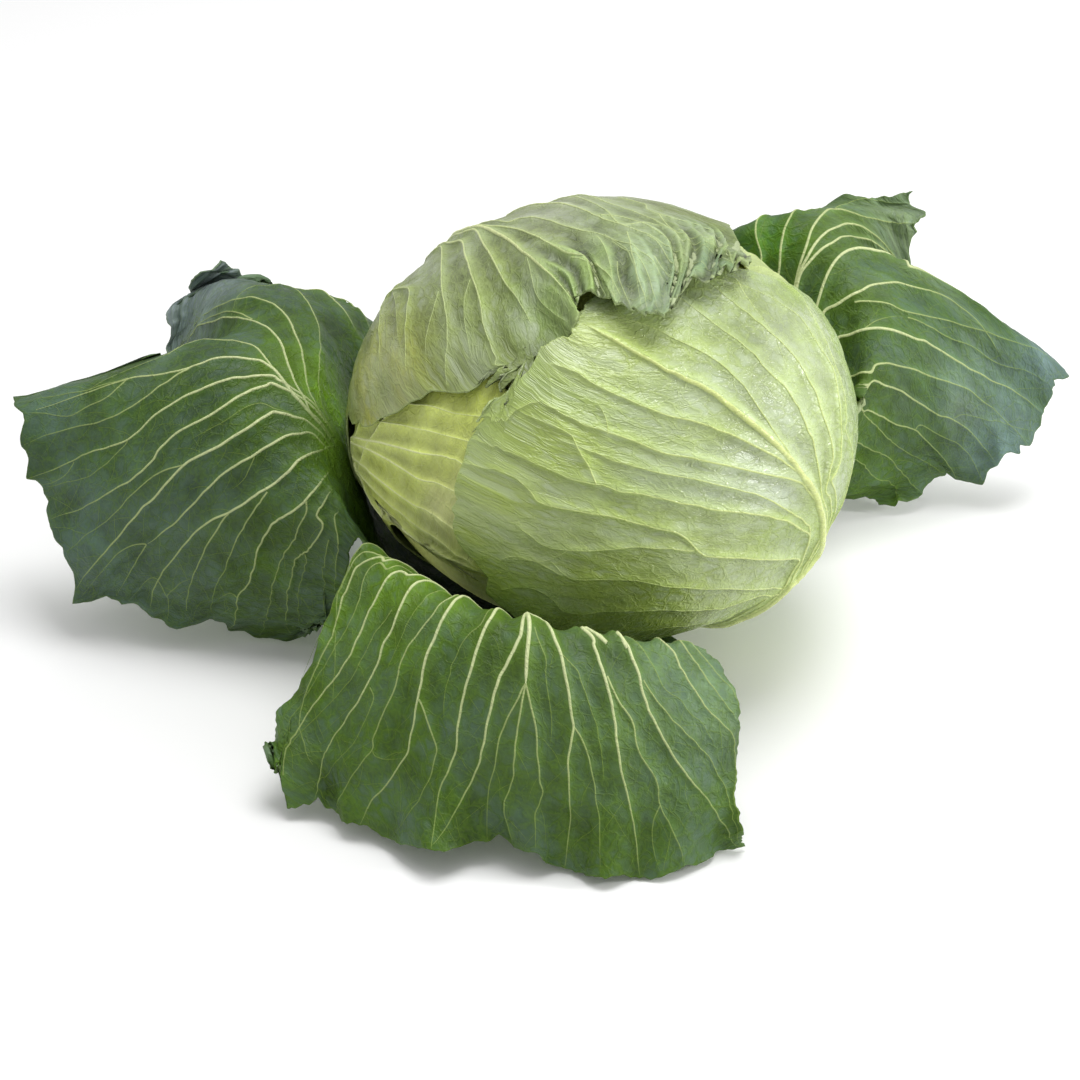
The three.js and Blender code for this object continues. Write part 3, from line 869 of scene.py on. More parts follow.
CROWN_WRAPPER = [
    [(160, -73, 0), (145, -73, 0), (130, -73, 0), (115, -73, 0), (100, -73, 0)],
    [(178, -42, 0), (155, -40, 0), (130, -38, 0), (105, -40, 0), (82, -46, 0)],
    [(184, -14, 0), (160, -5, 0), (132, 0, 0), (100, -2, 0), (70, -12, 0)],
    [(186, 6, 0), (170, 25, 0), (145, 36, 0), (100, 40, 1), (62, 22, 0)],
    [(203, 9, 0), (195, 42, 0), (172, 60, 0), (92, 76, 3), (40, 52, 1)],
    [(222, 25, 0), (224, 48, -0.5), (222, 67, 2), (-68, 77, 6), (12, 59, 4)],
    [(240, 33, 0.5), (249, 43, -0.5), (260, 56, 3.5), (-76, 54, 9), (-18, 57, 6)],
]
REAR_WRAPPER = [
    [(85, -73, -3.8), (65, -73, -3.8), (45, -73, -3.8), (28, -73, -3.8), (12, -73, -3.8)],
    [(92, -45, -3.8), (68, -42, -3.8), (42, -42, -3.8), (22, -44, -3.8), (4, -48, -3.8)],
    [(98, -15, -3.8), (70, -10, -3.8), (40, -10, -3.8), (16, -14, -3.8), (-6, -20, -3.8)],
    [(98, 18, -3.8), (70, 20, -3.8), (40, 20, -3.8), (12, 14, -3.8), (-12, 8, -3.8)],
    [(94, 45, -3.8), (66, 46, -3.8), (36, 44, -3.8), (8, 40, -3.8), (-16, 32, -3.8)],
    [(80, 66, -3.8), (50, 64, -3.8), (22, 60, -3.8), (0, 54, -3.8), (-20, 46, -3.8)],
]

# Margins, by pixels: the tip runs round the far end of a leaf, the start and end are its two sides
LEFT_MARGIN = dict(
    tip="315,629 307,636 291,643 279,646 256,640 243,636 236,637 229,637 220,627 209,621 199,626 188,629 "
        "175,633 168,628 163,621 152,621 149,616 143,612 131,606 120,608 108,601 90,605 68,607 72,594 "
        "67,580 62,571 59,551 50,540 47,526 41,500 34,489 27,478 23,463 21,446 22,423 14,411 12,398 "
        "158,356 163,348 170,340 172,327 165,313 172,303 178,294 181,286 186,279 202,271 210,270 218,261",
)
FRONT_MARGIN = dict(
    tip="268,732 267,742 270,756 279,765 275,778 275,790 271,800 275,807 287,809 298,807 311,806 320,798 "
        "324,806 327,810 336,819 351,825 364,828 381,838 400,845 416,849 432,850 456,849 480,843 490,842 "
        "497,837 505,843 512,849 523,853 534,854 541,857 546,864 569,873 582,878 594,880 613,877 634,876 "
        "647,879 659,878 671,874 685,868 700,865 712,859 716,853 721,851 740,848",
    start="339,601 325,630 314,656 302,680 290,697 280,712",
    end="742,716 742,743 737,779 735,796",
)
RIGHT_MARGIN = dict(
    tip="883,505 892,506 897,498 906,503 910,501 918,500 926,494 930,488 934,482 943,471 948,479 953,481 "
        "959,483 970,482 983,483 989,471 999,462 1004,455 1021,455 1021,447 1032,450 1037,436 1042,419 "
        "1044,410 1050,401 1055,394 1058,382 1066,380 1074,377 1069,352 910,255 910,248 917,235 913,229 "
        "917,223 926,212 914,207 910,201",
    start="847,497 862,497 873,498",
    end="830,199 843,195 855,196 867,198 878,196 890,196 901,192",
)
FRONT_WRAPPER_MARGIN = dict(
    tip="486,406 497,396 513,386 521,378 529,370 527,362 529,354 541,345 552,339 563,335 568,337 570,325 "
        "577,321 579,312 585,303 595,295 604,286",
    end="486,415 478,418 478,427 471,432 468,441 463,461 454,486 456,500 451,508 454,516 452,525 458,543 "
        "474,561 488,577",
)
LEFT_WRAPPER_MARGIN = dict(start="363,486 394,520 429,546 465,571 480,588")
CROWN_MARGIN = dict(
    tip="533,360 545,351 556,346 566,342 573,334 577,320 578,300 582,291 604,286 611,301 610,303 615,309 "
        "624,307 628,311 632,317 636,312 642,319 650,319 656,314 661,321 668,314 671,304 680,296 687,286 "
        "696,280 702,285 711,284 716,277 723,269 730,276 733,268 736,264 744,268 752,266",
    start="351,426 358,421 363,428 372,424 383,417 397,413 411,403 419,401 425,397 431,391 445,392 "
        "456,394 469,392 483,389 492,385 501,382 511,373 514,362 527,358",
)

# Veins: width at each end in millimetres, run on to base (b) or margin (t), pixels from the base outwards

LEFT_VEINS = [
    (2.0, 0.8, "bt", "351,406 342,379 341,361 345,340 351,317 345,299 333,292"),
    (2.0, 0.8, "bt", "335,411 326,386 324,369 327,347 331,324 327,306 319,294 310,289"),
    (2.4, 0.9, "bt", "322,417 317,392 317,365 319,347 317,326 310,306 297,294 283,288 265,287"),
    (2.6, 0.9, "bt", "313,417 306,392 302,366 297,344 286,320 274,308 256,302 240,302 224,306 211,313"),
    (2.8, 1.0, "bt", "304,415 295,392 288,370 281,349 269,333 252,324 233,320 217,322 202,327 190,340"),
    (1.6, 0.7, "t", "254,323 240,315 224,315 210,320 199,328"),
    (2.4, 1.0, "bt", "295,401 281,388 269,369 260,354 247,345 229,342 211,342 190,345 176,352 161,358"),
    (3.4, 1.3, "bt",
     "311,424 295,406 276,381 265,369 251,363 229,361 211,363 194,369 167,376 140,379 120,385"),
    (1.4, 0.6, "t", "130,381 114,385 86,392 59,397 36,401"),
    (1.4, 0.6, "t", "129,382 109,398 89,407 71,416 45,414 25,415"),
    (1.8, 0.8, "t", "193,369 171,382 143,401 111,419 71,428 37,439"),
    (3.0, 0.9, "bt",
     "279,388 269,381 251,380 229,383 208,390 179,403 152,422 132,439 111,448 89,453 71,462 37,476"),
    (1.1, 0.5, "t", "132,439 114,459 91,476 71,482 45,487"),
    (1.0, 0.5, "t", "75,462 62,478 38,487"),
    (2.8, 0.8, "bt", "270,388 256,392 238,401 211,417 176,436 155,459 139,476 114,491 89,505 50,519"),
    (1.2, 0.6, "b", "274,411 263,405 247,408 229,419 211,429 190,441"),
    (3.0, 0.9, "bt",
     "301,423 277,416 265,419 242,433 211,451 187,464 161,491 139,512 116,539 98,559 77,587"),
    (1.4, 0.6, "t", "187,464 164,471 143,485 125,503 107,521 89,534 69,549"),
    (2.8, 1.2, "b", "307,436 286,438 263,450 240,464 218,479 195,502 174,523 147,543"),
    (1.3, 0.6, "t", "147,543 132,544 114,557 95,578"),
    (1.3, 0.6, "t", "147,543 137,561 120,589"),
    (1.1, 0.6, "", "256,457 245,477 232,489"),
    (3.0, 1.0, "b", "331,448 302,459 288,473 263,491 231,511 209,521 186,543 159,579 152,605"),
    (1.6, 0.7, "t", "231,512 213,536 199,564 190,586 186,607"),
    (1.6, 0.7, "t", "268,491 252,514 234,546 225,568 215,589"),
    (1.0, 0.6, "t", "159,579 168,595 170,611"),
    (0.9, 0.6, "", "168,595 179,584 191,579"),
    (0.9, 0.6, "t", "159,578 150,577 134,595"),
    (2.4, 0.8, "bt", "343,459 325,475 307,500 281,518 268,532 257,554 249,582 238,596 236,614 229,630"),
    (1.6, 0.7, "t", "307,500 307,514 295,536 281,561 272,589 268,611 261,634"),
    (1.0, 0.6, "", "238,596 227,593 218,602"),
    (2.0, 0.8, "bt", "349,471 331,493 318,514 324,527 307,550 300,554 291,579 288,604 291,636"),
    (1.8, 0.8, "bt", "352,480 338,504 336,523 340,539 338,561"),
    (1.1, 0.6, "t", "307,552 306,570 299,588 300,614"),
    (1.1, 0.6, "t", "331,539 324,566 324,588"),
]
FRONT_VEINS = [
    (1.5, 0.8, "bt", "387,560 371,549 361,551 348,563 343,579 339,601"),
    (1.6, 0.8, "bt", "386,563 371,557 361,561 352,576 345,592 336,629"),
    (2.2, 0.9, "bt", "386,567 379,563 366,567 357,577 346,602 339,622 325,654 311,686 302,710"),
    (1.4, 0.7, "bt", "389,574 380,568 370,574 364,590 354,617 339,642 327,663 318,679"),
    (2.5, 1.0, "bt",
     "409,581 400,577 391,581 382,594 371,615 361,638 350,660 330,688 312,711 295,736 280,763"),
    (2.5, 0.9, "bt",
     "429,592 421,587 412,592 404,606 395,629 386,647 379,665 368,688 357,706 345,722 330,745 321,769 "
     "318,790"),
    (1.1, 0.6, "t", "393,611 379,629 366,651 355,674 346,686 330,704"),
    (1.0, 0.6, "t", "371,688 375,701 364,724 354,742 340,760"),
    (1.2, 0.6, "b", "439,594 429,597 416,611 407,626 398,647 386,674"),
    (1.7, 0.8, "bt",
     "462,602 452,602 439,611 421,633 407,654 400,672 396,688 386,711 375,735 373,749 361,765 345,788 "
     "336,804"),
    (2.7, 0.9, "bt",
     "461,604 454,608 443,626 432,651 425,674 421,697 416,719 411,745 404,761 386,785 371,802 364,815"),
    (1.5, 0.7, "t", "421,699 429,720 436,742 436,758 429,779 418,799 411,811"),
    (0.9, 0.6, "", "373,751 382,758 405,758"),
    (1.1, 0.6, "b", "482,626 466,640 455,658 450,672 446,692 445,719"),
    (2.6, 0.9, "bt",
     "500,616 495,617 486,633 475,661 468,683 462,704 459,729 455,754 448,772 439,790 436,815"),
    (2.7, 0.9, "bt", "525,624 517,648 505,670 495,694 489,719 484,744 477,769 464,794 455,813"),
    (3.6, 2.4, "b", "525,622 529,636 527,662 526,684"),
    (1.6, 0.7, "t", "526,684 516,704 501,734 496,761 489,787 487,814"),
    (1.6, 0.7, "t", "526,684 519,725 516,752 513,779 506,802 507,823 512,845"),
    (1.6, 0.7, "t", "526,684 535,721 538,752 540,779 542,796 535,814 534,850"),
    (2.8, 0.9, "bt",
     "528,623 541,625 551,636 559,654 566,680 570,707 573,725 570,748 569,770 571,796 571,823 566,859"),
    (1.4, 0.7, "t", "573,727 584,743 592,770 596,796 600,823 600,855"),
    (1.1, 0.6, "", "534,632 546,661 546,680 551,716 551,743"),
    (1.1, 0.6, "", "559,655 576,671 585,695 594,718 601,752 603,779"),
    (2.8, 0.9, "bt",
     "559,630 571,629 585,636 594,652 601,671 609,700 614,729 617,757 623,782 630,814 635,841 637,868"),
    (1.7, 0.8, "t", "605,677 619,704 632,723 637,750 655,779 660,805 676,837 682,861"),
    (1.1, 0.6, "t", "660,805 653,820 653,841 660,868"),
    (2.8, 0.9, "bt",
     "591,634 605,633 619,643 630,659 637,680 644,704 655,727 671,755 691,782 710,805 739,845"),
    (1.4, 0.7, "t", "641,682 659,707 680,730 703,752 717,775 728,798 735,832"),
    (1.2, 0.6, "b", "625,637 637,646 651,666 662,687 680,702 689,714 703,725 714,748"),
    (2.0, 0.8, "bt", "637,640 651,641 667,650 678,668 691,689 707,711 725,727 734,746 735,779"),
    (1.6, 0.8, "bt", "664,642 678,645 691,659 705,680 721,700 739,721"),
    (1.4, 0.8, "bt", "676,643 694,650 712,670 730,689 741,711"),
]
RIGHT_VEINS = [
    (1.8, 1.2, "bt", "762,255 757,239 758,225 764,215"),
    (2.2, 1.2, "bt", "780,267 782,242 787,225 798,210"),
    (2.4, 0.9, "bt", "798,275 805,251 810,232 821,217 835,212 848,214 866,219 891,222 909,223"),
    (1.2, 0.6, "t", "835,212 851,203 869,200 891,203"),
    (2.6, 1.1, "bt", "801,273 814,246 830,232 844,225 859,227 873,235 887,248"),
    (2.6, 1.1, "bt", "801,276 814,257 830,246 848,239 866,240 878,246 891,257"),
    (2.6, 1.1, "bt", "809,287 830,273 848,262 866,259 884,259 896,266 916,275"),
    (2.8, 1.0, "bt", "826,312 844,301 860,292 875,286 896,285 917,290 941,296 955,305"),
    (1.7, 0.7, "t", "855,303 882,304 894,309 909,314 935,319 959,325 983,332 1005,340 1029,348 1053,360"),
    (2.7, 0.8, "bt", "839,339 864,331 890,332 912,339 929,345 951,358 973,371 999,384 1021,396 1037,410"),
    (1.3, 0.7, "", "865,330 878,321 903,317"),
    (1.3, 0.6, "t", "906,318 929,328 950,339 973,347 997,363 1021,369 1042,379"),
    (2.0, 0.8, "bt", "851,378 867,372 873,364 892,364 917,371 941,380 965,388 983,401 997,412"),
    (2.0, 0.8, "bt", "870,379 884,384 902,392 921,404 940,415 954,420 973,435 989,452"),
    (0.9, 0.6, "t", "954,419 962,415 977,417"),
    (1.8, 0.8, "bt", "855,405 862,407 878,414 894,422 913,428 926,439 942,456 954,474"),
    (1.2, 0.6, "t", "914,428 921,425 942,435 961,446 973,460 983,478"),
    (1.3, 0.6, "bt", "859,408 870,420 891,439 906,452 921,460"),
    (1.3, 0.6, "bt", "852,436 865,446 884,455 900,470 910,481 921,492"),
    (1.1, 0.6, "bt", "848,455 862,464 875,478 886,478 897,489"),
]
FRONT_WRAPPER_VEINS = [
    (7.5, 1.1, "b",
     "784,577 797,570 808,560 815,541 817,520 811,496 796,471 779,452 755,430 725,405 707,391 680,378 "
     "659,367 618,344 600,334 575,322"),
    (1.7, 0.7, "t", "811,497 786,455 771,430 754,403 732,376 707,357 677,341 654,330 636,323"),
    (1.8, 0.8, "bt", "817,500 814,455 805,426 789,396 764,369 743,346 714,325 682,300"),
    (1.7, 0.8, "bt", "822,490 830,455 823,421 809,385 793,359 770,335 752,319 732,303 712,285"),
    (1.6, 0.7, "bt", "828,480 839,448 834,385 820,350 802,323 787,310 768,298"),
    (1.3, 0.6, "bt", "844,430 842,395 828,350 812,318 796,294 772,276"),
    (1.2, 0.6, "t", "734,280 748,301 764,323"),
    (1.9, 0.8, "", "800,477 770,455 734,437 700,424 662,414 630,401 600,387 575,372 550,364"),
    (2.0, 0.9, "b", "811,500 802,486 787,478 752,471 696,459 654,450 620,436 590,427 563,414 542,402"),
    (1.1, 0.6, "", "608,434 606,420 600,408 596,402"),
    (1.8, 0.8, "b", "805,525 796,516 770,500 743,491 707,482 654,471 618,462 588,450 560,440"),
    (1.9, 0.7, "b",
     "805,532 787,521 761,514 732,511 689,504 654,496 620,491 597,484 572,479 542,466 510,452 472,438"),
    (1.5, 0.6, "", "597,484 588,466 577,445 567,432 540,420 520,411"),
    (2.0, 0.8, "b",
     "796,557 761,557 725,555 707,554 693,546 677,532 654,527 620,518 581,511 547,504 533,495 522,482 "
     "501,471 486,468 463,462"),
    (1.4, 0.7, "", "693,550 671,548 636,546 599,550 572,549 551,547 533,537 519,525"),
    (1.8, 0.7, "b", "782,582 761,586 732,587 689,586 636,580 590,579 567,575 552,561"),
    (1.7, 0.7, "b",
     "775,589 752,595 725,604 707,607 654,609 620,610 590,612 565,611 551,598 526,587 501,589"),
    (1.4, 0.7, "b", "765,596 745,610 725,620 689,623 636,629 600,630"),
    (1.0, 0.6, "", "541,402 520,408 503,420 480,420"),
    (1.0, 0.6, "", "563,575 535,560 510,556 495,566"),
    (0.9, 0.6, "", "570,548 545,560 520,558 505,560"),
]
LEFT_WRAPPER_VEINS = [
    (1.4, 0.8, "bt", "400,404 424,405 451,412 477,417"),
    (1.5, 0.8, "bt", "363,420 374,420 411,427 440,434 469,441"),
    (1.9, 0.9, "bt", "355,437 390,444 420,452 447,457 461,462"),
    (1.9, 0.9, "bt", "354,442 363,445 390,459 420,478 435,482 447,487"),
    (1.7, 0.9, "bt", "356,452 360,459 385,481 411,502 429,511 449,525"),
    (1.9, 0.9, "bt", "356,462 359,471 376,504 399,525 426,543 451,557 479,570"),
    (1.5, 0.8, "bt", "362,470 371,482 402,512 436,538 470,562 494,578"),
]
CROWN_VEINS = [
    (1.6, 0.8, "b", "443,250 444,294 448,319 447,358 447,385"),
    (1.9, 0.9, "b", "463,244 472,273 481,301 487,332 495,357 499,372"),
    (2.0, 0.9, "b", "478,235 492,258 504,280 519,301 531,325"),
    (2.9, 1.2, "b", "486,233 508,242 529,260 551,280 574,303"),
    (1.8, 0.9, "b", "490,231 519,232 545,244 569,259 590,266 610,282 622,300"),
    (1.7, 0.9, "b", "533,207 563,207 586,214 597,219 620,228 648,240 668,254 690,270"),
    (1.5, 0.8, "b", "508,225 536,221 572,230 599,237 622,246 645,262 662,284"),
    (1.5, 0.8, "b", "411,291 409,314 407,341 408,370"),
    (1.4, 0.8, "b", "395,280 385,301 381,332 380,360"),
    (1.0, 0.6, "", "394,287 397,305 399,341"),
    (1.0, 0.6, "", "472,282 465,305 467,332 472,359"),
    (1.0, 0.6, "", "529,262 533,282 542,303 569,323"),
    (1.0, 0.6, "", "440,294 431,321 427,341 427,364"),
    (1.3, 0.8, "b", "600,203 630,213 652,222 663,229 690,239 715,247 735,256"),
    (1.2, 0.8, "b", "620,228 662,229 678,243 700,250 730,262"),
    (1.0, 0.7, "t", "597,240 607,256 612,276 614,300"),
    (1.0, 0.7, "t", "604,237 624,250 634,272 640,300"),
    (1.0, 0.7, "t", "612,243 636,262 648,286 654,306"),
    (1.0, 0.7, "t", "572,262 592,272 600,284 606,300"),
    (1.3, 0.7, "t", "618,199 646,207 658,216 673,224 698,230 722,237 728,248"),
    (1.3, 0.7, "t", "658,216 667,228 682,240 701,247 725,254 733,263"),
    (1.3, 0.7, "t", "598,218 624,221 646,230 664,244 670,251 698,265 715,274"),
    (1.2, 0.7, "t", "627,236 632,262 640,289 647,312"),
    (1.1, 0.7, "t", "618,263 620,282 629,303 633,312"),
    (1.2, 0.7, "t", "646,240 659,251 676,273 693,279"),
    (1.1, 0.7, "t", "652,262 664,276 675,286"),
]


# Materials

class Look:
    """A procedural material, built up from its principled shader."""

    def __init__(self, name):
        self.mat = bpy.data.materials.new(name)
        self.mat.use_nodes = True
        self.tree = self.mat.node_tree
        self.bsdf = self.tree.nodes["Principled BSDF"]

    def put(self, kind, inputs=(), **values):
        n = self.tree.nodes.new(kind)
        for key, value in values.items():
            setattr(n, key, value)
        for key, value in dict(inputs).items():
            if isinstance(value, bpy.types.NodeSocket):
                self.tree.links.new(value, n.inputs[key])
            else:
                n.inputs[key].default_value = value
        return n

    def field(self, name, kind="Fac"):
        return self.put("ShaderNodeAttribute", attribute_name=name).outputs[kind]

    def noise(self, at, scale, detail=3.0, rough=0.55, out="Fac"):
        inputs = {"Vector": at, "Scale": scale, "Detail": detail, "Roughness": rough}
        return self.put("ShaderNodeTexNoise", inputs).outputs[out]

    def math(self, op, a, b, clamp=False):
        return self.put("ShaderNodeMath", {0: a, 1: b}, operation=op, use_clamp=clamp).outputs[0]

    def shift(self, op, a, b, slot=1):
        """A sum, difference or scaling of vectors."""
        return self.put("ShaderNodeVectorMath", {0: a, slot: b}, operation=op).outputs[0]

    def stretched(self, at, scale):
        return self.put("ShaderNodeMapping", {"Vector": at, "Scale": scale}).outputs[0]

    def span(self, x, a, b, c=0.0, d=1.0):
        inputs = {"Value": x, "From Min": a, "From Max": b, "To Min": c, "To Max": d}
        return self.put("ShaderNodeMapRange", inputs, interpolation_type="SMOOTHSTEP").outputs["Result"]

    def mix(self, k, a, b, blend="MIX"):
        n = self.tree.nodes.new("ShaderNodeMix")
        n.data_type = "RGBA"
        n.blend_type = blend
        for socket, value in zip((n.inputs[0], n.inputs[6], n.inputs[7]), (k, a, b)):
            if isinstance(value, bpy.types.NodeSocket):
                self.tree.links.new(value, socket)
            elif isinstance(value, str):
                socket.default_value = (*srgb(value), 1)
            else:
                socket.default_value = value
        return n.outputs[2]

    def cells(self, at, scale):
        """Distance to the nearest cell wall, in cells."""
        n = self.put("ShaderNodeTexVoronoi", {"Vector": at, "Scale": scale}, feature="DISTANCE_TO_EDGE")
        return n.outputs["Distance"]

    def finish(self, colour, rough, bump, depth):
        self.tree.links.new(colour, self.bsdf.inputs["Base Color"])
        self.tree.links.new(rough, self.bsdf.inputs["Roughness"])
        n = self.put("ShaderNodeBump", {"Height": bump, "Distance": depth})
        self.tree.links.new(n.outputs["Normal"], self.bsdf.inputs["Normal"])
        return self.mat


# Scales of the leaf patterns, in cells or lumps per millimetre
DRIFT_SCALE = 0.16
DRIFT_REACH = 7.0
COARSE_NET = 0.17
FINE_NET = 0.42
PATCH_SCALE = 0.05
FLECK_SCALE = 0.9
STREAK_SCALE = 0.6
STREAK_SHAPE = (1.6, 0.12, 1)
WAX_SCALE = 0.035
GLOSS_SCALE = 0.22
LUMP_SCALE = 0.35
LEAF_BUMP = 0.0004
NEAR_SHARE = 0.5
UNDER_SHARE = 0.75
UNDER_VEIN_SHARE = 0.7


def leaf_look(name, vein, twig, net, bloom, under, net_share, bloom_share, gloss, gleam, mottle):
    """Leaf skin: the painted tone with painted shade in hollows and painted light on ridges, mottled, with
    bloom, a net of fine veins, main veins and a paler back.
    """
    look = Look(name)
    look.bsdf.inputs["Specular IOR Level"].default_value = gleam
    grain = look.field("grain", "Vector")
    drift = look.noise(grain, DRIFT_SCALE, 2.0, 0.5, "Color")
    centred = look.shift("SUBTRACT", drift, (0.5, 0.5, 0.5))
    bent = look.shift("ADD", grain, look.shift("SCALE", centred, DRIFT_REACH, "Scale"))
    coarse = look.span(look.cells(bent, COARSE_NET), 0.0, 0.11, 1.0, 0.0)
    fine = look.span(look.cells(bent, FINE_NET), 0.0, 0.16, 1.0, 0.0)
    lace = look.math("ADD", look.math("MULTIPLY", coarse, 0.7), look.math("MULTIPLY", fine, 0.38), True)
    patch = look.noise(grain, PATCH_SCALE, 4.0, 0.6)
    fleck = look.noise(grain, FLECK_SCALE, 3.0, 0.6)
    streak = look.noise(look.stretched(grain, STREAK_SHAPE), STREAK_SCALE, 3.0, 0.5)

    tone = look.field("tone", "Color")
    broad = look.span(patch, 0.3, 0.7, 1 - mottle, 1 + mottle)
    shade = look.math("ADD", broad, look.span(fleck, 0.2, 0.8, -mottle * 0.5, mottle * 0.5))
    shade = look.math("ADD", shade, look.span(streak, 0.3, 0.7, -0.05, 0.05))
    ground = look.mix(1.0, tone, shade, "MULTIPLY")
    waxy = look.span(look.noise(grain, WAX_SCALE, 5.0, 0.6), 0.42, 0.68)
    ground = look.mix(look.math("MULTIPLY", waxy, bloom_share), ground, bloom)
    middle = look.span(look.cells(bent, COARSE_NET), 0.06, 0.3)
    middle = look.math("MULTIPLY", middle, look.span(patch, 0.35, 0.65))
    ground = look.mix(look.math("MULTIPLY", middle, bloom_share), ground, bloom)
    near = look.field("near")
    ground = look.mix(look.math("MULTIPLY", lace, net_share), ground, net)
    ground = look.mix(look.math("MULTIPLY", near, NEAR_SHARE), ground, net)

    level = look.field("level")
    line = look.mix(level, twig, vein)
    line = look.mix(1.0, line, look.span(fleck, 0.2, 0.8, 0.9, 1.08), "MULTIPLY")
    rib = look.math("MULTIPLY", look.field("rib"), look.span(level, 0.1, 0.6, 0.6, 1.0))
    colour = look.mix(rib, ground, line)
    below = look.mix(look.math("MULTIPLY", near, UNDER_VEIN_SHARE), under, vein)
    colour = look.mix(look.math("MULTIPLY", look.field("under"), UNDER_SHARE), colour, below)
    rim = look.span(look.field("edge"), 0.0, 0.05, 0.35, 0.0)
    colour = look.mix(rim, colour, net)

    sheen = look.span(look.noise(grain, GLOSS_SCALE, 4.0, 0.6), 0.3, 0.7, gloss - 0.06, gloss + 0.08)
    rough = look.math("ADD", sheen, look.math("MULTIPLY", lace, 0.05))
    bump = look.math("ADD", look.math("MULTIPLY", lace, 0.5), look.math("MULTIPLY", fleck, 0.35))
    lumps = look.noise(bent, LUMP_SCALE, 3.0, 0.5)
    bump = look.math("ADD", bump, look.math("MULTIPLY", lumps, 0.9))
    return look.finish(colour, rough, bump, LEAF_BUMP)


OUTER_LOOK = leaf_look(
    "outer_leaf_skin", vein="d3dba6", twig="7c9436", net="5c7a1e", bloom="566c64", under="6f8a66",
    net_share=0.34, bloom_share=0.42, gloss=0.42, gleam=0.24, mottle=0.28)
WRAP_LOOK = leaf_look(
    "wrapper_leaf_skin", vein="d9e490", twig="c3d284", net="b9cd76", bloom="c9d4c2", under="c5d0a8",
    net_share=0.24, bloom_share=0.3, gloss=0.21, gleam=0.6, mottle=0.1)
INNER_LOOK = leaf_look(
    "inner_leaf_skin", vein="e0e4ae", twig="cdd795", net="ccd694", bloom="c6cf9a", under="cdd4a4",
    net_share=0.18, bloom_share=0.2, gloss=0.36, gleam=0.4, mottle=0.08)
CROWN_LOOK = leaf_look(
    "crown_leaf_skin", vein="dbe3a4", twig="b6c686", net="a6b976", bloom="aab59c", under="b3bf96",
    net_share=0.26, bloom_share=0.4, gloss=0.38, gleam=0.35, mottle=0.16)


# Leaves

def make_leaf(name, surface, size, table, base, patches, slot, look, *, columns, rows, height, ridge, crumple,
              ruffle, thickness, midrib, twigs, seed, lift, extra=(), root=ROOT_RUN, fade=ROOT_FADE,
              pleats=None, crease=0.0, painted_relief_shade=PAINTED_RELIEF_SHADE):
    """One leaf of the cabbage: its blade, which replaces the solid of that name, and its veins."""
    leaf = Leaf(surface, size, base=root, fade=fade, painted_relief_shade=painted_relief_shade)
    leaf.draw(table, height)
    for line, w0, w1 in extra:
        leaf.press(line, w0, w1, height * w0 / MAIN_VEIN, GUESSED)
    leaf.branch(seed, *twigs)
    leaf.paint(base, patches)
    if pleats:
        leaf.pleat(*pleats, seed)
    if crease:
        leaf.crease(crease)
    leaf.shape(columns, rows, ridge, crumple, ruffle, seed)
    piece = blade_object(leaf, name + "_blade", thickness, midrib, look)
    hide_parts(name)
    veins = vein_object(leaf, name + "_veins", look, lift)


LEFT_PATCHES = [
    (150, 500, 44, "3d5444"),
    (90, 420, 36, "3c5826"),
    (60, 480, 26, "38541a"),
    (100, 540, 30, "475d52"),
    (210, 560, 34, "44584c"),
    (60, 410, 14, "536c60"),
    (270, 560, 30, "38521f"),
    (250, 630, 20, "30481a"),
    # Pale grey-blue on the rear lobe: the leaf's bloom, lightened as painted light
    (170, 310, 30, "8b979c"),
    (215, 280, 20, "7c878a"),
    (260, 330, 20, "46603c"),
    (300, 350, 26, "3a5618"),
    (325, 400, 26, "567c14"),
    (345, 430, 26, "7cab1c"),
    (340, 330, 20, "2b4512"),
    (300, 430, 18, "3c5818"),
    (345, 480, 18, "3a5a16"),
    (365, 520, 20, "3f6014"),
]
FRONT_PATCHES = [
    (340, 640, 30, "4a6c18"),
    (300, 700, 24, "426214"),
    (290, 780, 20, "54762a"),
    (420, 650, 26, "46661c"),
    (470, 720, 26, "3f5c20"),
    (640, 680, 34, "647f52"),
    (700, 690, 30, "789270"),
    (560, 650, 26, "567238"),
    (560, 760, 30, "486428"),
    (660, 780, 30, "557044"),
    (325, 785, 12, "263e0c"),
    (490, 825, 14, "263e0c"),
    (440, 820, 18, "3c5a16"),
    (600, 850, 26, "3d5a16"),
    (700, 840, 22, "466620"),
    # Yellow-green of the leaf's base in the throat by the head, made brighter as painted light against the
    # shade there
    (390, 580, 14, "547814"),
    (430, 592, 16, "5f8418"),
    (470, 602, 14, "587c16"),
]
RIGHT_PATCHES = [
    (960, 420, 24, "8d9c94"),
    (930, 380, 18, "7c9484"),
    (1000, 390, 26, "627a6c"),
    (1050, 360, 16, "6c8486"),
    (990, 450, 20, "6a8284"),
    (900, 330, 26, "56724a"),
    (860, 290, 22, "4a6828"),
    (900, 230, 24, "8a9c7c"),
    (840, 220, 18, "6a8450"),
    (850, 380, 20, "304a12"),
    (850, 470, 30, "4c6e10"),
    (890, 490, 16, "40600e"),
    (920, 450, 22, "34501c"),
    (790, 250, 16, "3a5a10"),
    (770, 240, 12, "4a7a20"),
]
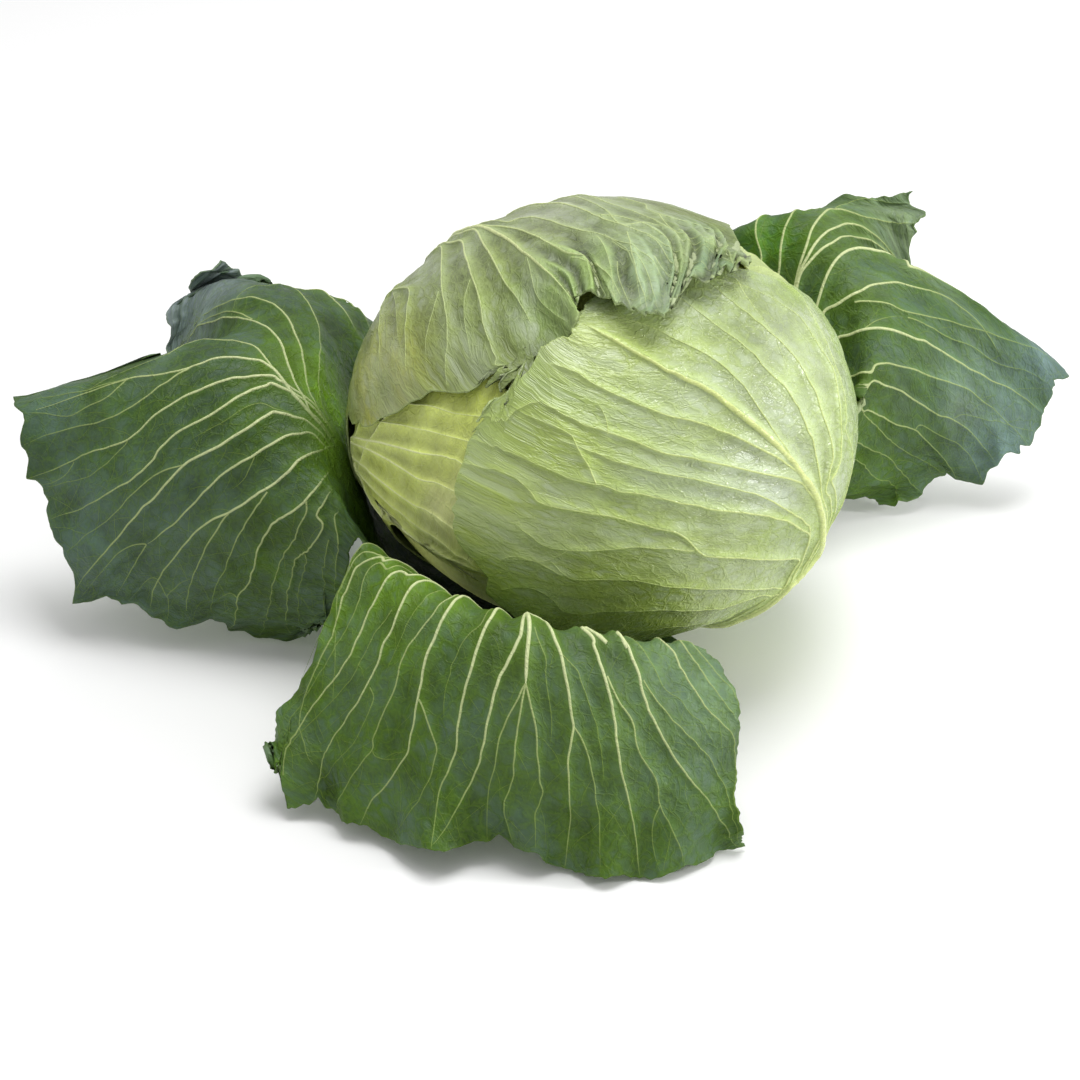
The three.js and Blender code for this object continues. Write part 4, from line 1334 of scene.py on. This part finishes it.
FRONT_WRAPPER_PATCHES = [
    (780, 420, 40, "acb69c"),
    (700, 420, 50, "a1b27a"),
    (740, 330, 30, "8f9f6a"),
    (800, 360, 24, "a3ae8a"),
    (765, 300, 16, "8d9c66"),
    # Whitish blue low on the right: painted reflection of the window lamp over the leaf's bloom
    (745, 522, 18, "c6d1c4"),
    (760, 490, 30, "b8c2b0"),
    (700, 545, 24, "b6c89a"),
    (770, 560, 16, "c2d0ae"),
    (640, 350, 30, "a6b873"),
    (590, 345, 16, "c8d88c"),
    (505, 440, 16, "b8cf86"),
    (540, 450, 45, "98ac54"),
    (600, 620, 40, "97a94c"),
    (700, 600, 40, "93a64c"),
    (480, 540, 30, "a6b858"),
    (820, 420, 22, "b9cc8c"),
    (820, 520, 18, "86a04a"),
]
CROWN_PATCHES = [
    (400, 330, 26, "6f7c30"),
    (380, 380, 26, "a3a54c"),
    (560, 210, 30, "9fa48e"),
    (625, 275, 14, "8b9c86"),
    (650, 285, 16, "7f917e"),
    (660, 250, 20, "7d8f74"),
    # Dark spots along the flap's overhanging edge: painted shade of its underside
    (655, 310, 8, "4c6450"),
    (700, 262, 12, "4e6650"),
    (722, 268, 8, "4a6248"),
    (735, 250, 10, "7c8e62"),
    (700, 228, 16, "73865f"),
    (620, 215, 20, "8d9878"),
    (500, 300, 26, "7a8a48"),
    (560, 300, 22, "748c48"),
    (450, 270, 26, "818d5e"),
]

OUTER_WAVES = dict(scallops=5, depth=0.02, height=3.0)
OUTER_TEETH = 0.012
OUTER = dict(slot="outer_leaves", look=OUTER_LOOK, columns=324, rows=222, height=1.4, ridge=2.8, crumple=1.2,
             ruffle=2.2, thickness=0.9, midrib=2.4, twigs=(24.0, 22.0, 0.6, 0.2), lift=0.5)

left = waved(spread_surface(LEFT_LEAF, LEFT_BUMPS), waves=6, phase=0.6, **OUTER_WAVES)
make_leaf("outer_leaf_left", fitted(left, OUTER_TEETH, 21, **LEFT_MARGIN), (300, 330), LEFT_VEINS,
          "2f4a1e", LEFT_PATCHES, seed=31, root=((0.6, 0.6), (0.82, 0.8)), fade=(0.5, 0.66), **OUTER)

front = waved(spread_surface(FRONT_LEAF, FRONT_BUMPS), waves=6, **OUTER_WAVES)
make_leaf("outer_leaf_front", fitted(front, OUTER_TEETH, 22, **FRONT_MARGIN), (220, 260), FRONT_VEINS,
          "3f5c1c", FRONT_PATCHES, seed=32, **OUTER)

right = waved(spread_surface(RIGHT_LEAF, RIGHT_BUMPS), waves=5, phase=0.5, **OUTER_WAVES)
make_leaf("outer_leaf_right", fitted(right, OUTER_TEETH, 23, **RIGHT_MARGIN), (220, 270), RIGHT_VEINS,
          "3c5a2a", RIGHT_PATCHES, seed=33, **OUTER)

WRAP = dict(columns=300, rows=240, height=1.1, ridge=1.5, crumple=0.7, thickness=0.8, midrib=0.0, lift=0.7)

wrap = waved(wrapped_surface(FRONT_WRAPPER), scallops=5, depth=0.012, waves=5, height=0.35)
make_leaf("wrapper_leaf_front", fitted(wrap, 0.005, 24, **FRONT_WRAPPER_MARGIN), (240, 260),
          FRONT_WRAPPER_VEINS, "9db467", FRONT_WRAPPER_PATCHES, "wrapper_leaves", WRAP_LOOK,
          ruffle=0.5, twigs=(30.0, 16.0, 0.5, 0.12), seed=34, crease=-0.9, painted_relief_shade=0.5, **WRAP)

# The left wrapper's one patch is a painted highlight along its margin by the front wrapper
wrap = waved(wrapped_surface(LEFT_WRAPPER), scallops=4, depth=0.012, waves=4, height=0.3)
make_leaf("wrapper_leaf_left", fitted(wrap, 0.0015, 25, **LEFT_WRAPPER_MARGIN), (190, 240),
          LEFT_WRAPPER_VEINS, "bcc95a", [(447, 520, 16, "d4d890")], "inner_leaves", INNER_LOOK,
          ruffle=0.15, twigs=(24.0, 16.0, 0.5, 0.12), seed=35, crease=-0.6, painted_relief_shade=0.55, **WRAP)

wrap = waved(wrapped_surface(CROWN_WRAPPER), scallops=4, depth=0.02, waves=7, height=0.8)
make_leaf("wrapper_leaf_crown", fitted(wrap, 0.006, 26, **CROWN_MARGIN), (260, 300),
          CROWN_VEINS, "717e3a", CROWN_PATCHES, "crown_leaf", CROWN_LOOK,
          ruffle=1.2, twigs=(22.0, 16.0, 0.55, 0.15), seed=36, pleats=(2.6, 5.5, 0.42, 0.77), crease=0.7,
          painted_relief_shade=0.8, **WRAP)


FAN_POINTS = 7
FAN_BEND = 0.006
FAN_WIDTH = 2.2


def fan(count, spread, seed):
    """Veins that spread from the base of a leaf no part of which the photograph shows."""
    rng = np.random.default_rng(seed)
    lines = []
    for k in range(count):
        s = (k + 0.5) / count * 2 - 1
        q = [(0.5 + 0.05 * s, 0.0)]
        for m in range(1, FAN_POINTS + 1):
            v = m / FAN_POINTS
            q.append((0.5 + s * spread * v**1.2 + rng.normal(0, FAN_BEND), v * (1 - 0.25 * s * s)))
        lines.append((q, FAN_WIDTH - abs(s), 0.8))
    return lines


wrap = waved(wrapped_surface(REAR_WRAPPER), scallops=4, depth=0.012, waves=4, height=0.3)
make_leaf("wrapper_leaf_rear", fitted(wrap, 0.004, 27), (190, 230), [], "a9bb74", [],
          "inner_leaves", INNER_LOOK, ruffle=0.4, twigs=(24.0, 20.0, 0.6, 0.15), seed=37,
          extra=fan(11, 0.55, 5), **WRAP)


# Heart and stem

HEART_VEINS = 14
HEART_VEIN_POINTS = 8
HEART_SEED = 38


def heart_object():
    """The heart, closed all round, with veins that run up it from the base."""
    leaf = Leaf(heart_surface, (560, 280), cell=1.0)
    for k in range(HEART_VEINS):
        sway = [0.012 * math.sin(5 * m + k) for m in range(HEART_VEIN_POINTS)]
        line = [(k / HEART_VEINS + sway[m], 0.06 + 0.126 * m) for m in range(HEART_VEIN_POINTS)]
        leaf.press(line, 2.0, 0.9, 0.6, GUESSED)
    leaf.branch(HEART_SEED, 26.0, 22.0, 0.6, 0.15)
    leaf.paint("c2ca6c", [])
    leaf.shape(420, 210, 0.3, 0.3, 0.0, HEART_SEED)
    at = np.arange(leaf.gu.size).reshape(leaf.gu.shape)
    looks = leaf.looks(leaf.gu.ravel(), leaf.gv.ravel())
    for key in ("under", "rib", "level"):
        looks[key] = np.zeros(leaf.gu.size)
    looks["edge"] = np.ones(leaf.gu.size)
    piece = mesh_object("heart_head", leaf.grid.reshape(-1, 3), [quads_of(at)], looks, INNER_LOOK)
    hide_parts("heart")
    veins = vein_object(leaf, "heart_veins", INNER_LOOK, 0.5)


heart_object()


def stem_look():
    """Pale fibrous stump, with a lighter cut face and brownish patches."""
    look = Look("stem_flesh")
    grain = look.field("grain", "Vector")
    fibre = look.noise(look.stretched(grain, (1.4, 0.18, 1)), 1.1, 4.0, 0.6)
    pith = look.cells(grain, 0.5)
    patch = look.noise(grain, 0.12, 3.0, 0.6)
    colour = look.mix(look.span(fibre, 0.35, 0.7), "d6d8a8", "b5bf80")
    colour = look.mix(look.math("MULTIPLY", look.field("under"), 0.8), colour, "e7e6cb")
    colour = look.mix(look.span(patch, 0.52, 0.75, 0, 0.5), colour, "a98f5a")
    colour = look.mix(look.span(pith, 0.0, 0.1, 0.35, 0.0), colour, "9b9a66")
    rough = look.span(patch, 0.3, 0.7, 0.5, 0.75)
    bump = look.math("ADD", look.math("MULTIPLY", fibre, 0.8), look.math("MULTIPLY", pith, 0.3))
    return look.finish(colour, rough, bump, 0.0005)


STEM_TURNS = 96
STEM_RINGS = 64
CUT_END = 0.35
CUT_DISH = 0.5
CUT_ROUNDING = 1.2
STEM_SIDE = 11.0


def stem_object():
    """The stump: a slightly dished cut face and a fibrous side with the scars of the leaves it lost."""
    turns = np.linspace(0, 2 * math.pi, STEM_TURNS, endpoint=False)
    a, t = np.meshgrid(turns, np.linspace(0, 1, STEM_RINGS))
    on_cut = t < CUT_END
    rounded = STEM_RADIUS - CUT_ROUNDING * np.clip((0.42 - t) / 0.07, 0, 1) ** 2
    r = np.where(on_cut, t / CUT_END * (STEM_RADIUS - CUT_ROUNDING), rounded)
    rise = np.clip((t - CUT_END) / (1 - CUT_END), 0, 1) ** 1.3 * STEM_SIDE
    z = np.where(on_cut, CUT_DISH * (1 - (t / CUT_END) ** 2), rise)
    side = np.clip((t - 0.36) / 0.1, 0, 1)
    scar = 0.35 * np.maximum(0, np.sin(3 * a + z * 0.9)) ** 4 + 0.1 * np.sin(17 * a)
    r = r + side * (scar - 0.5)
    p = np.stack([STEM_AT[0] + r * np.cos(a), STEM_AT[1] + r * np.sin(a), z], -1)
    at = np.arange(a.size).reshape(a.shape)
    quads = quads_of(np.concatenate([at, at[:, :1]], axis=1))
    grain = np.stack([a * STEM_RADIUS, z + t * 14, 0 * z], -1).reshape(-1, 3)
    looks = {"grain": grain, "under": (t < 0.36).astype(float).ravel()}
    return mesh_object("stem_stump", p.reshape(-1, 3), [quads], looks, stem_look())


stem = stem_object()
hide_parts("stem")


# Floor, light and camera

def to_scene(point):
    """A point of the layout in metres about the origin."""
    return Vector((np.asarray(point, float) - STEM_AT * (1, 1, 0)) * MM)


FLOOR_HALF = 12.0
FLOOR_GREY = 0.94
WORLD_LIGHT = 0.5
# Name, place and aim in metres, width, height, and power in watts
SOFTBOXES = [
    ("overhead_softbox", (0.1, 0.4, 2.2), (0, 0.25, 0), 3.2, 3.2, 15),
    ("key_softbox", (0.15, 0.1, 1.5), (0, 0, 0.05), 0.8, 0.8, 13),
    ("right_window", (0.95, -0.2, 0.42), (0, 0, 0.1), 0.1, 0.2, 4.0),
]


def floor():
    mesh = bpy.data.meshes.new("floor")
    s = FLOOR_HALF
    mesh.from_pydata([(-s, -s, 0), (s, -s, 0), (s, s, 0), (-s, s, 0)], [], [(0, 1, 2, 3)])
    mat = bpy.data.materials.new("floor_paper")
    mat.use_nodes = True
    shader = mat.node_tree.nodes["Principled BSDF"]
    shader.inputs["Base Color"].default_value = (FLOOR_GREY, FLOOR_GREY, FLOOR_GREY, 1)
    shader.inputs["Roughness"].default_value = 0.9
    shader.inputs["Specular IOR Level"].default_value = 0.1
    mesh.materials.append(mat)
    piece = bpy.data.objects.new("floor", mesh)
    bpy.context.scene.collection.objects.link(piece)


def softbox(name, at, aim, width, height, watts):
    lamp = bpy.data.lights.new(name, "AREA")
    lamp.shape = "RECTANGLE"
    lamp.size = width
    lamp.size_y = height
    lamp.energy = watts
    piece = bpy.data.objects.new(name, lamp)
    bpy.context.scene.collection.objects.link(piece)
    piece.location = at
    piece.rotation_euler = (Vector(aim) - Vector(at)).to_track_quat("-Z", "Y").to_euler()


floor()
for lamp in SOFTBOXES:
    softbox(*lamp)

world = bpy.data.worlds.new("studio")
world.use_nodes = True
world.node_tree.nodes["Background"].inputs["Color"].default_value = (1, 1, 1, 1)
world.node_tree.nodes["Background"].inputs["Strength"].default_value = WORLD_LIGHT
bpy.context.scene.world = world
bpy.context.scene.view_settings.view_transform = "Standard"

eye, right_axis, up_axis, back_axis = camera_axes()
camera = bpy.data.cameras.new("photograph")
camera.sensor_width = SENSOR_MM
camera.lens = FOCAL_PX / FRAME_PX * SENSOR_MM
camera.clip_end = 50
camera_piece = bpy.data.objects.new("photograph", camera)
bpy.context.scene.collection.objects.link(camera_piece)
turn = Matrix((right_axis, up_axis, back_axis)).transposed()
camera_piece.matrix_world = Matrix.Translation(to_scene(eye)) @ turn.to_4x4()
bpy.context.scene.camera = camera_piece
